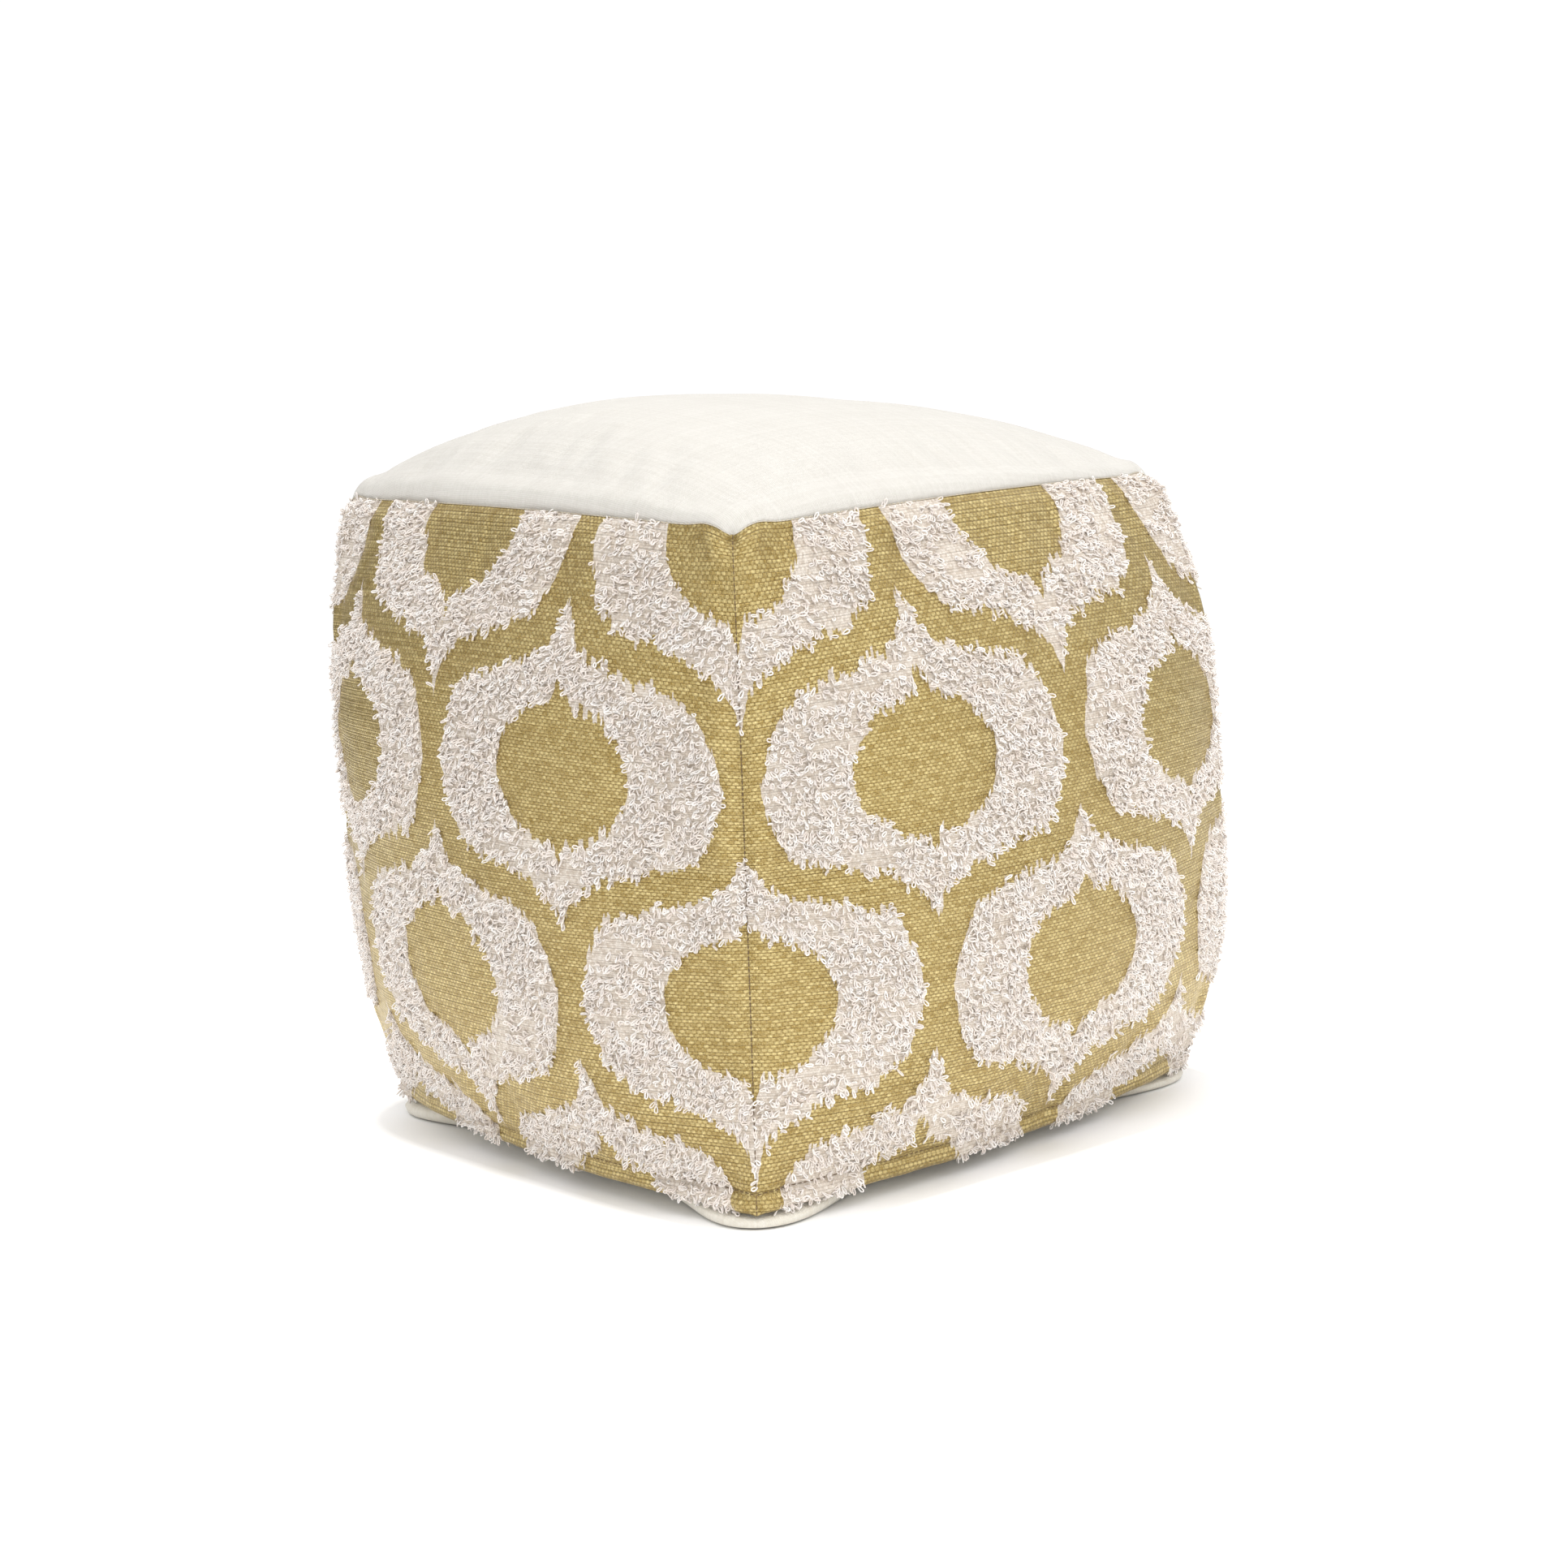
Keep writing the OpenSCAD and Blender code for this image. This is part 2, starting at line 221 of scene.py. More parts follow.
ARRAY_MATH = {
    "MAXIMUM": np.maximum, "MINIMUM": np.minimum, "FLOOR": np.floor, "ABSOLUTE": np.abs,
    "SQRT": np.sqrt, "SINE": np.sin, "FRACT": lambda x: x - np.floor(x),
    "GREATER_THAN": lambda x, y: np.greater(x, y) * 1.0,
}


class Field:
    """A shader socket that can be added and multiplied like a number."""

    def __init__(self, tree, socket):
        self.tree = tree
        self.socket = socket

    def __add__(self, other):
        return calc("ADD", self, other)

    def __radd__(self, other):
        return calc("ADD", other, self)

    def __sub__(self, other):
        return calc("SUBTRACT", self, other)

    def __rsub__(self, other):
        return calc("SUBTRACT", other, self)

    def __mul__(self, other):
        return calc("MULTIPLY", self, other)

    def __rmul__(self, other):
        return calc("MULTIPLY", other, self)

    def __truediv__(self, other):
        return calc("DIVIDE", self, other)


def calc(operation, *values):
    """One step of arithmetic, on arrays or as a Math node."""
    fields = [v for v in values if isinstance(v, Field)]
    if not fields:
        return ARRAY_MATH[operation](*values)
    tree = fields[0].tree
    node = tree.nodes.new("ShaderNodeMath")
    node.operation = operation
    for socket, value in zip(node.inputs, values):
        if isinstance(value, Field):
            tree.links.new(value.socket, socket)
        else:
            socket.default_value = value
    return Field(tree, node.outputs[0])


def floor(x):
    return calc("FLOOR", x)


def fract(x):
    return calc("FRACT", x)


def size_of(x):
    return calc("ABSOLUTE", x)


def clamped(x):
    return calc("MINIMUM", calc("MAXIMUM", x, 0.0), 1.0)


def above(x, limit):
    return calc("GREATER_THAN", x, limit)


def odd(x):
    return x - 2.0 * floor(x / 2.0)


def hashed(cell, seed):
    """A steady random number from 0 to 1 for each whole number."""
    return fract(calc("SINE", cell * 2.399 + seed) * 91.7)


# ---- the pattern ----

def ikat(u, v):
    """The pattern's threads slip up and down a little, which frays its upper and lower edges."""
    wide = hashed(floor(u * COLUMN / 4.1), 1.0) - 0.5
    fine = hashed(floor(u * COLUMN / 1.9), 5.0) - 0.5
    return v + 0.016 * wide + 0.10 * fine * fine * fine + 0.012 * fine


def medallion(u, v):
    """Above 0 inside a medallion: an ellipse with a pointed crown and foot."""
    column = floor(u + 0.5)
    across = size_of(u - column)
    down = v - odd(column) * 0.5
    down = size_of(down - floor(down + 0.5))
    ellipse = 1.0 - (across / 0.435) * (across / 0.435) - (down / 0.156) * (down / 0.156)
    spike = 0.09 * (1.0 - (down - 0.125) / 0.075) - across
    return calc("MAXIMUM", ellipse, spike)


def trellis(u, v):
    """Above 0 on the ogee lines between medallions: an S from one column's node to the next's."""
    strip = floor(u)
    run = v - 0.5 - odd(strip) * 0.5
    run = size_of(run - floor(run + 0.5))
    share = u - strip - 0.5
    fourth = share * share * share * share
    curve = 0.25 + share * (0.10 + 8.0 * fourth)
    slope = REPEAT / COLUMN * (0.10 + 40.0 * fourth)
    gap = size_of(run - curve) * REPEAT / calc("SQRT", 1.0 + slope * slope)
    return 12.6 - 12.8 * share * share - gap


def gold(u, v):
    """1 on the gold medallions and trellis, 0 on the pile. u counts columns, v repeats."""
    v = ikat(u, v) - PATTERN_TOP
    return above(calc("MAXIMUM", medallion(u, v), trellis(u, v)), 0.0)


# ---- meshes ----

def add_object(name, vertices, faces, materials, uv=None, smooth=True, tones=None):
    """A mesh object from points in millimetres and faces that all have as many corners."""
    mesh = bpy.data.meshes.new(name)
    faces = np.asarray(faces, np.int32)
    mesh.vertices.add(len(vertices))
    mesh.vertices.foreach_set("co", (np.asarray(vertices) * MM).astype(np.float32).ravel())
    mesh.loops.add(faces.size)
    mesh.loops.foreach_set("vertex_index", faces.ravel())
    mesh.polygons.add(len(faces))
    starts = np.arange(0, faces.size, faces.shape[1], dtype=np.int32)
    mesh.polygons.foreach_set("loop_start", starts)
    mesh.polygons.foreach_set("use_smooth", np.full(len(faces), smooth))
    for material in materials:
        mesh.materials.append(material)
    if tones is not None:
        mesh.polygons.foreach_set("material_index", tones.astype(np.int32))
    if uv is not None:
        layer = mesh.uv_layers.new(name="UVMap")
        layer.data.foreach_set("uv", uv[faces.ravel()].astype(np.float32).ravel())
    mesh.update(calc_edges=True)
    obj = bpy.data.objects.new(name, mesh)
    bpy.context.scene.collection.objects.link(obj)
    return obj


def grid_faces(rows, cols, closed_rows=False, closed_cols=False):
    """Quads of a grid of points, facing the side from which its rows run down and cols right."""
    r = np.arange(rows if closed_rows else rows - 1)
    c = np.arange(cols if closed_cols else cols - 1)
    r, c = (a.ravel() for a in np.meshgrid(r, c, indexing="ij"))
    down, right = (r + 1) % rows, (c + 1) % cols
    return np.stack([r * cols + c, down * cols + c, down * cols + right, r * cols + right], -1)


# ---- shape of the cover ----

def near(distance, reach):
    return np.exp(-(distance / reach) ** 2)


def wave(share, power):
    return 1 - np.abs(share) ** power


def noise(x, y, seed):
    """Smooth noise from -1 to 1 in cells one unit across."""
    x0, y0 = np.floor(x), np.floor(y)
    fx, fy = x - x0, y - y0
    fx, fy = fx * fx * (3 - 2 * fx), fy * fy * (3 - 2 * fy)

    def corner(i, j):
        n = np.sin((x0 + i) * 12.9898 + (y0 + j) * 78.233 + seed * 37.719) * 43758.5453
        return 2 * (n - np.floor(n)) - 1

    low = corner(0, 0) * (1 - fx) + corner(1, 0) * fx
    high = corner(0, 1) * (1 - fx) + corner(1, 1) * fx
    return low * (1 - fy) + high * fy


def unit(v):
    return v / np.linalg.norm(v, axis=-1, keepdims=True)


def seam_line(corner, t):
    """Points of a corner seam at shares t of its height."""
    foot, middle, top = (np.array(p, float) for p in CORNER_SEAMS[corner % 4])
    t = np.asarray(t)[..., None]
    line = foot + (top - foot) * t
    swell = np.append(middle - (foot[:2] + top[:2]) / 2, 0)
    return line + swell * wave(2 * t - 1, BELLY_POWER)


def side_direction(k):
    """Level outward direction of a side, square to the line between its corners."""
    along = seam_line(k + 1, 0.5) - seam_line(k, 0.5)
    return unit(np.array([along[1], -along[0], 0.0]))


def corner_direction(k):
    return unit(side_direction(k - 1) + side_direction(k))


def edge_direction(k):
    return unit(side_direction(k) + np.array([0.0, 0.0, 1.0]))


def side_shape(k, s, w):
    """Smooth shape of a side at places s and w, which broadcast."""
    s, w = np.broadcast_arrays(s, w)
    at_corner = np.abs(s) ** BOW_POWER
    t = 1 - w - (0.010 + 0.013 * at_corner) * np.sin(2 * np.pi * w)
    belly = wave(2 * t - 1, BELLY_POWER)
    a, b = seam_line(k, t), seam_line(k + 1, t)
    chord = b - a
    out = unit(np.stack([chord[..., 1], -chord[..., 0], np.zeros_like(t)], -1))
    bow = (BOW_AT_HEM + (BOW_AT_TOP - BOW_AT_HEM) * t + BELLY * belly) * wave(s, BOW_POWER)
    points = (a + b) / 2 + chord / 2 * s[..., None] + out * bow[..., None]
    points[..., 2] += (1 + 4 * t) * (1 - s ** 2)
    return points


def grid_normals(points):
    down = np.gradient(points, axis=0)
    along = np.gradient(points, axis=1)
    return unit(np.cross(down, along))


def spaced(length, step, edge_rows):
    """Shares from 0 to 1, with closer rows at both ends."""
    body = np.arange(edge_rows[-1] + step, length / 2, step)
    half = np.concatenate([edge_rows, body])
    half = np.concatenate([half, length - half[::-1]])
    return np.unique(np.round(half / length, 6))


EDGE_ROWS = np.array([0, 0.7, 1.5, 2.4, 3.5, 5.0, 7.0])
ACROSS = 2 * spaced(PANEL_WIDTH, 2.7, EDGE_ROWS) - 1
DOWN = spaced(PANEL_DROP, 2.7, EDGE_ROWS)


def notch(to_corner):
    """How far the top seam drops at a corner, between two small rises."""
    return NOTCH_DROP * near(to_corner, 9) - 1.8 * near(to_corner - 24, 11)


def seam_dips(k, s, to_top):
    """How the corner seams at both ends of a side draw its cloth in, towards the middle."""
    dips = 0
    for corner, end in ((k, -1), (k + 1, 1)):
        to_seam = np.abs(end - s) / 2 * PANEL_WIDTH
        depth = (SEAM_DIP + NOTCH_DIP * near(to_top, 9)) * near(to_seam, SEAM_REACH)
        dips = dips - depth[..., None] * corner_direction(corner)
        dips[..., 2] -= notch(np.hypot(to_seam, to_top))
    return dips


def ends_free(s, reach):
    """0 on both corner seams, rising to 1 away from them."""
    ends = [(1 - s) / 2 * PANEL_WIDTH, (1 + s) / 2 * PANEL_WIDTH]
    return (1 - near(ends[0], reach)) * (1 - near(ends[1], reach))


def side_relief(k, s, w):
    """Small hollows and puckers of a side's cloth, in millimetres outwards."""
    x, y = (s + 1) / 2 * PANEL_WIDTH, w * PANEL_DROP
    to_end, to_foot = np.minimum(x, PANEL_WIDTH - x), PANEL_DROP - y
    seed = 10 * k
    relief = 1.2 * noise(x / 95, y / 80, seed) + 0.7 * noise(x / 34, y / 30, seed + 1)
    relief += 0.35 * noise(x / 12, y / 11, seed + 2)
    relief += 1.4 * near(to_end - 13, 8)
    relief += 0.9 * noise(to_end / 30, y / 9, seed + 3) * near(to_end, 20)
    relief += 1.3 * near(y - 11, 7) + 0.6 * noise(x / 10, y / 30, seed + 4) * near(y, 16)
    relief += 4.2 * near(to_end - 17, 11) * near(y - 13, 15)
    relief += 1.0 * noise(x / 13, y / 40, seed + 5) * near(to_foot - 22, 14)
    relief *= ends_free(s, 9) * (1 - near(y, 8))
    hem = -3.2 * near(to_foot - HEM_BAND, 2.2) + 2.2 * near(to_foot - 5.5, 4.5)
    hem = hem - 2.6 * near(to_foot, 1.3)
    return relief + hem * ends_free(s, 5)


def swollen(shape, across, down):
    """How far a panel moves outwards when its cloth, a little too large and held along its seams,
    is blown up from a slightly smaller shape. It is simulated in coarse cells and given at the
    finer places across and down."""
    if quick:
        return np.zeros((len(down), len(across)))
    cells = np.linspace(-1, 1, SIM_CELLS)
    s, t = np.meshgrid(cells, cells)
    full = shape(s, t)
    normals = grid_normals(full)
    start = full - (SIM_SWELL * np.sqrt(wave(s, 3) * wave(t, 3)))[..., None] * normals
    outwards = ((blown_up(start) - full) * normals).sum(-1).clip(-SIM_CAP, SIM_CAP)
    width = 0.75 * (cells[1] - cells[0])
    to_cells = [near(places[:, None] - cells, width) for places in (down, across)]
    rows, cols = (part / part.sum(1, keepdims=True) for part in to_cells)
    return rows @ outwards @ cols.T


def blown_up(points):
    """A grid of cloth after a short cloth simulation with pressure inside and its rim pinned."""
    rows, cols = points.shape[:2]
    obj = add_object("cloth", points.reshape(-1, 3), grid_faces(rows, cols), [])
    index = np.arange(rows * cols).reshape(rows, cols)
    rim = np.concatenate([index[0], index[-1], index[1:-1, 0], index[1:-1, -1]])
    obj.vertex_groups.new(name="pins").add(rim.tolist(), 1.0, "REPLACE")
    cloth = obj.modifiers.new("cloth", "CLOTH")
    settings = cloth.settings
    settings.quality, settings.mass, settings.air_damping = 6, 0.25, 2
    settings.tension_stiffness, settings.compression_stiffness = 20, 12
    settings.shear_stiffness, settings.bending_stiffness = 8, 0.4
    settings.tension_damping = settings.compression_damping = settings.shear_damping = 8
    settings.vertex_group_mass = "pins"
    settings.shrink_min = settings.shrink_max = -SIM_SLACK
    settings.use_pressure, settings.uniform_pressure_force = True, SIM_PRESSURE
    settings.effector_weights.gravity = 0
    cloth.collision_settings.use_collision = False
    cloth.point_cache.frame_start, cloth.point_cache.frame_end = 1, SIM_FRAMES + 1
    scene = bpy.context.scene
    for frame_number in range(1, SIM_FRAMES + 1):
        scene.frame_set(frame_number)
    mesh = obj.evaluated_get(bpy.context.evaluated_depsgraph_get()).to_mesh()
    moved = np.empty(points.size, np.float32)
    mesh.vertices.foreach_get("co", moved)
    bpy.data.objects.remove(obj)
    scene.frame_set(1)
    return moved.reshape(points.shape) / MM


def side_grid(k):
    s, w = np.meshgrid(ACROSS, DOWN)
    base = side_shape(k, s, w)
    normals = grid_normals(base)
    to_top = w * PANEL_DROP
    tuck = 1.5 * near(to_top, 3.5) * ends_free(s, SEAM_REACH)
    relief = side_relief(k, s, w)
    swell = swollen(lambda s, t: side_shape(k, s, (1 + t) / 2), ACROSS, 2 * DOWN - 1)
    relief += swell * ends_free(s, 7) * (1 - near(to_top, 6)) * (1 - near(PANEL_DROP - to_top, 16))
    points = base + relief[..., None] * normals
    points += seam_dips(k, s, to_top) - tuck[..., None] * edge_direction(k)
    return points


def top_shape(p, q):
    """Smooth shape of the top, at p from -1 left to 1 right and q from -1 front to 1 back: a
    patch over its four seams, with a dome that is fuller towards the front left."""
    front, right = side_shape(0, p, 0.0), side_shape(1, q, 0.0)
    back, left = side_shape(2, -p, 0.0), side_shape(3, -q, 0.0)
    x, y = (p[..., None] + 1) / 2, (q[..., None] + 1) / 2
    patch = front * (1 - y) + back * y + left * (1 - x) + right * x
    for corner, share in enumerate(((1 - x) * (1 - y), x * (1 - y), x * y, (1 - x) * y)):
        patch = patch - share * seam_line(corner, 1.0)
    dome = DOME_RISE * np.sqrt((wave(p, CROWN_POWER) * wave(q, CROWN_POWER)).clip(0))
    patch[..., 2] += dome * (1 - DOME_LEAN * (0.64 * p + 0.77 * q))
    return patch


def top_grid():
    """The top's cloth, with its edges and corners drawn in. Its rows run from back to front."""
    p, q = np.meshgrid(ACROSS, ACROSS[::-1])
    points = top_shape(p, q)
    normals = grid_normals(points)
    half = PANEL_WIDTH / 2
    to_edge = [(1 + q) * half, (1 - p) * half, (1 - q) * half, (1 + p) * half]
    free = 1.0
    for k in range(4):
        along = p if k % 2 == 0 else q
        tuck = 1.5 * near(to_edge[k], 3.5) * ends_free(along, SEAM_REACH)
        points -= tuck[..., None] * edge_direction(k)
        to_corner = np.hypot(to_edge[k - 1], to_edge[k])
        dip = (SEAM_DIP + NOTCH_DIP) * near(to_corner, SEAM_REACH)
        points -= dip[..., None] * corner_direction(k)
        points[..., 2] -= notch(to_corner)
        free = free * (1 - near(to_edge[k], 8))
    edge = np.minimum.reduce(to_edge)
    around = np.arctan2(q, p) * half
    relief = 1.4 * noise(p * 2.3, q * 2.1, 50) + 0.6 * noise(p * 6, q * 6, 51)
    relief += 1.0 * near(edge - 10, 6) + 0.5 * noise(around / 11, edge / 40, 52) * near(edge, 20)
    relief += swollen(lambda s, t: top_shape(s, -t), ACROSS, ACROSS)
    return points + (relief * free)[..., None] * normals


def cloth_shell(points, thickness):
    """Points and faces of a sheet with two faces and a rim, from its outer face."""
    rows, cols = points.shape[:2]
    inner = points - grid_normals(points) * thickness
    inner[..., 2] = np.maximum(inner[..., 2], 0.05)
    faces = grid_faces(rows, cols)
    index = np.arange(rows * cols).reshape(rows, cols)
    rim = np.concatenate([index[0, :-1], index[:-1, -1], index[-1, :0:-1], index[:0:-1, 0]])
    after = np.roll(rim, -1)
    shift = rows * cols
    sides = np.stack([rim, after, after + shift, rim + shift], -1)
    faces = np.concatenate([faces, faces[:, ::-1] + shift, sides])
    return np.concatenate([points.reshape(-1, 3), inner.reshape(-1, 3)]), faces


def cloth_panel(name, points, thickness, material, uv):
    vertices, faces = cloth_shell(points, thickness)
    return add_object(name, vertices, faces, [material], np.tile(uv.reshape(-1, 2), (2, 1)))


def resampled(path, step):
    """Points every step along a path, with the directions there."""
    lengths = np.concatenate([[0], np.cumsum(np.linalg.norm(np.diff(path, axis=0), axis=1))])
    at = np.arange(step / 2, lengths[-1], step)
    points = np.stack([np.interp(at, lengths, path[:, i]) for i in range(3)], -1)
    return points, unit(np.gradient(points, axis=0))


def tube_rings(centres, along, side, radii, corners):
    """Rings of points round centres. All but radii end in a last axis of three."""
    up = unit(np.cross(along, side))
    side = np.cross(up, along)
    angle = np.arange(corners) * 2 * np.pi / corners
    ring = (np.cos(angle)[:, None] * side[..., None, :] + np.sin(angle)[:, None] * up[..., None, :])
    return centres[..., None, :] + np.asarray(radii)[..., None, None] * ring


def stitch_row(path, out, length, gap, radius):
    """A row of stitches along a path: each one a slim closed capsule that dips in at its ends."""
    middles, along = resampled(path, length + gap)
    out = np.broadcast_to(out, middles.shape)
    places = np.array([-0.5, -0.47, -0.36, 0.0, 0.36, 0.47, 0.5])
    radii = radius * np.array([0.02, 0.55, 0.95, 1.0, 0.95, 0.55, 0.02])
    lift = radius * np.array([-0.9, -0.6, 0.1, 0.5, 0.1, -0.6, -0.9])
    centres = (middles[:, None] + along[:, None] * (places * length)[:, None]
               + out[:, None] * lift[:, None])
    spread = (len(middles), len(places), 3)
    rings = tube_rings(centres, np.broadcast_to(along[:, None], spread),
                       np.broadcast_to(out[:, None], spread),
                       np.broadcast_to(radii, spread[:2]), 6)
    one = grid_faces(len(places), 6, closed_cols=True)
    count = len(places) * 6
    faces = (one[None] + np.arange(len(middles))[:, None, None] * count).reshape(-1, 4)
    return rings.reshape(-1, 3), faces


def joined(parts):
    """Several sets of points and faces as one."""
    vertices, faces, shift = [], [], 0
    for points, quads in parts:
        vertices.append(points)
        faces.append(quads + shift)
        shift += len(points)
    return np.concatenate(vertices), np.concatenate(faces)


# ---- materials ----

def new_material(name):
    material = bpy.data.materials.new(name)
    material.use_nodes = True
    tree = material.node_tree
    return material, tree, tree.nodes["Principled BSDF"]


def set_values(shader, **values):
    for name, value in values.items():
        socket = shader.inputs[name.replace("_", " ")]
        socket.default_value = (*value, 1) if isinstance(value, tuple) else value


def uv_fields(tree, across, down):
    """UV coordinates as two fields, in the given units."""
    uv = tree.nodes.new("ShaderNodeUVMap")
    split = tree.nodes.new("ShaderNodeSeparateXYZ")
    tree.links.new(uv.outputs[0], split.inputs[0])
    return Field(tree, split.outputs[0]) * across, Field(tree, split.outputs[1]) * down


def mixed(tree, share, low, high):
    """A colour between two: each is a plain colour or a socket."""
    node = tree.nodes.new("ShaderNodeMix")
    node.data_type = "RGBA"
    tree.links.new(share.socket, node.inputs["Factor"])
    for socket, value in ((node.inputs[6], low), (node.inputs[7], high)):
        if isinstance(value, tuple):
            socket.default_value = (*value, 1)
        else:
            tree.links.new(value, socket)
    return node.outputs[2]


def bumped(tree, shader, height, depth):
    node = tree.nodes.new("ShaderNodeBump")
    node.inputs["Strength"].default_value = 1
    node.inputs["Distance"].default_value = depth * MM
    tree.links.new(height.socket, node.inputs["Height"])
    tree.links.new(node.outputs[0], shader.inputs["Normal"])


def cloud(tree, scale, detail=2.0, stretch=(1, 1, 1)):
    """Noise from 0 to 1 over the object's own space, in features per metre."""
    coords = tree.nodes.new("ShaderNodeTexCoord")
    sized = tree.nodes.new("ShaderNodeMapping")
    sized.inputs["Scale"].default_value = stretch
    node = tree.nodes.new("ShaderNodeTexNoise")
    node.inputs["Scale"].default_value = scale
    node.inputs["Detail"].default_value = detail
    tree.links.new(coords.outputs["Object"], sized.inputs[0])
    tree.links.new(sized.outputs[0], node.inputs["Vector"])
    return Field(tree, node.outputs[0])


def weave(x, y, pitch):
    """Brick-like plain weave: a height from 0 to 1, holes between threads, and a number for each
    crossing."""
    row = floor(y / pitch)
    shifted = x / pitch + odd(row) * 0.5
    fx = size_of(fract(shifted) - 0.5) * 2.0
    fy = size_of(fract(y / pitch) - 0.5) * 2.0
    height = 1.0 - 0.5 * fx * fx - 0.5 * fy * fy
    hole = clamped((fx * fy - 0.62) * 6.0)
    return height, hole, floor(shifted) + row * 61.0


def looped_gold_cloth():
    material, tree, shader = new_material("looped_gold_cloth")
    u, v = uv_fields(tree, 1.0, 1.0)
    is_gold = gold(u, v)
    height, hole, crossing = weave(u * COLUMN, v * REPEAT, THREAD_PITCH)
    spark = hashed(crossing, 3.0)
    bead, _, stitch = weave(u * COLUMN * 0.6, v * REPEAT, STITCH_PITCH)
    glint = clamped(cloud(tree, 1400.0, 2.0) * 3.0 - 1.2)
    thread = hashed(floor(v * REPEAT / THREAD_PITCH), 8.0)
    shine = hashed(stitch, 5.0)
    # tone mixes the threads' random tone with painted light: painted glints (glint, and spark at each crossing) and a
    # painted highlight on the crown of each stitch (bead * bead * shine).
    tone = 0.16 * spark * spark + 0.5 * glint * glint + 0.08 * thread + 0.55 * bead * bead * shine
    light_gold = mixed(tree, clamped(tone), (0.315, 0.208, 0.046), (0.90, 0.76, 0.38))
    # Painted shade: the gold is darkened to near black in the weave's holes and in the grooves between stitches.
    groove_shade = clamped(hole * 0.85 + 0.75 * (1.0 - bead) * (1.0 - bead))
    gold_colour = mixed(tree, groove_shade, light_gold, (0.09, 0.05, 0.018))
    # The gauze ground between the loops varies in tone at random, and is darkened and browned as painted shade between
    # the loops; its holes are painted near black as shade.
    pale = mixed(tree, spark, (0.58, 0.49, 0.40), (0.80, 0.73, 0.65))
    gauze = mixed(tree, hole * 0.95, pale, (0.14, 0.08, 0.035))
    colour = mixed(tree, is_gold, gauze, gold_colour)
    tree.links.new(colour, shader.inputs["Base Color"])
    metal = is_gold * (0.85 - 0.6 * hole)
    tree.links.new(metal.socket, shader.inputs["Metallic"])
    rough = 0.85 - is_gold * (0.52 - 0.16 * spark)
    tree.links.new(rough.socket, shader.inputs["Roughness"])
    set_values(shader, Coat_Weight=0.2, Coat_Roughness=0.35)
    bumped(tree, shader, height + 0.6 * spark + 1.6 * bead, 0.45)
    return material


def plain_cotton(name, low, high, units):
    """Plain-woven cotton, with slubs. units is how many millimetres its UV counts as 1."""
    material, tree, shader = new_material(name)
    x, y = uv_fields(tree, units, units)
    height, hole, crossing = weave(x, y, 1.3)
    slub = hashed(floor(y / 1.3), 2.0) * 0.5 + hashed(floor(x / 1.3), 4.0) * 0.5
    shade = clamped(0.55 * slub + 0.3 * hashed(crossing, 6.0) + 0.3 * cloud(tree, 30.0) - 0.1)
    # Painted shade: the weave's holes are darkened towards 0.55 of the low colour.
    colour = mixed(tree, hole * 0.25, mixed(tree, shade, low, high), tuple(0.55 * c for c in low))
    tree.links.new(colour, shader.inputs["Base Color"])
    set_values(shader, Roughness=0.82, Sheen_Weight=0.15, Sheen_Roughness=0.5)
    bumped(tree, shader, height + 0.7 * slub, 0.22)
    return material


def yarn(name, colour, roughness):
    """Off-white looped yarn, plain because each loop is modelled."""
    material, tree, shader = new_material(name)
    set_values(shader, Base_Color=colour, Roughness=roughness, Sheen_Weight=0.3,
               Sheen_Roughness=0.4)
    return material


def grained(name, low, high, roughness, metallic=0.0, scale=900.0, depth=0.05, stretch=(1, 1, 1)):
    """A material with fine grain in its colour, roughness and surface."""
    material, tree, shader = new_material(name)
    grain = cloud(tree, scale, 3.0, stretch)
    tree.links.new(mixed(tree, grain, low, high), shader.inputs["Base Color"])
    tree.links.new((grain * 0.2 + (roughness - 0.1)).socket, shader.inputs["Roughness"])
    set_values(shader, Metallic=metallic)
    bumped(tree, shader, grain, depth)
    return material


SIDE_CLOTH = looped_gold_cloth()
# Painted shade: the top's cotton is given a darker colour than the base's same cotton, to offset the strong light from
# above.
TOP_CLOTH = plain_cotton("plain_cotton", (0.585, 0.558, 0.508), (0.705, 0.682, 0.636), 1000)
BASE_CLOTH = plain_cotton("base_cotton", (0.70, 0.65, 0.55), (0.82, 0.79, 0.71), 2 * PANEL_WIDTH)
YARNS = [yarn("yarn_white", (0.92, 0.855, 0.80), 0.75),
         yarn("yarn_warm", (0.88, 0.795, 0.725), 0.8),
         yarn("yarn_grey", (0.86, 0.80, 0.755), 0.8),
         yarn("yarn_bright", (0.97, 0.935, 0.90), 0.7)]
BROWN_THREAD = grained("brown_thread", (0.10, 0.06, 0.03), (0.20, 0.13, 0.07), 0.7)
CREAM_THREAD = grained("cream_thread", (0.58, 0.50, 0.37), (0.74, 0.67, 0.54), 0.75)
ZIP_TAPE = grained("zip_tape", (0.70, 0.67, 0.62), (0.84, 0.82, 0.78), 0.8, 0, 1500.0, 0.08,
                   (1, 4, 1))
ZIP_TEETH = grained("zip_teeth", (0.74, 0.72, 0.67), (0.82, 0.80, 0.76), 0.4, 0, 500.0, 0.02)
ZIP_METAL = grained("zip_metal", (0.50, 0.49, 0.47), (0.66, 0.65, 0.63), 0.35, 1.0, 700.0, 0.02,
                    (1, 6, 1))
LINING = grained("lining", (0.76, 0.76, 0.74), (0.88, 0.88, 0.87), 0.8, 0, 400.0, 0.15)
BEADS = grained("beads", (0.84, 0.84, 0.83), (0.93, 0.93, 0.92), 0.6, 0, 260.0, 0.8)


# ---- the cover's panels ----

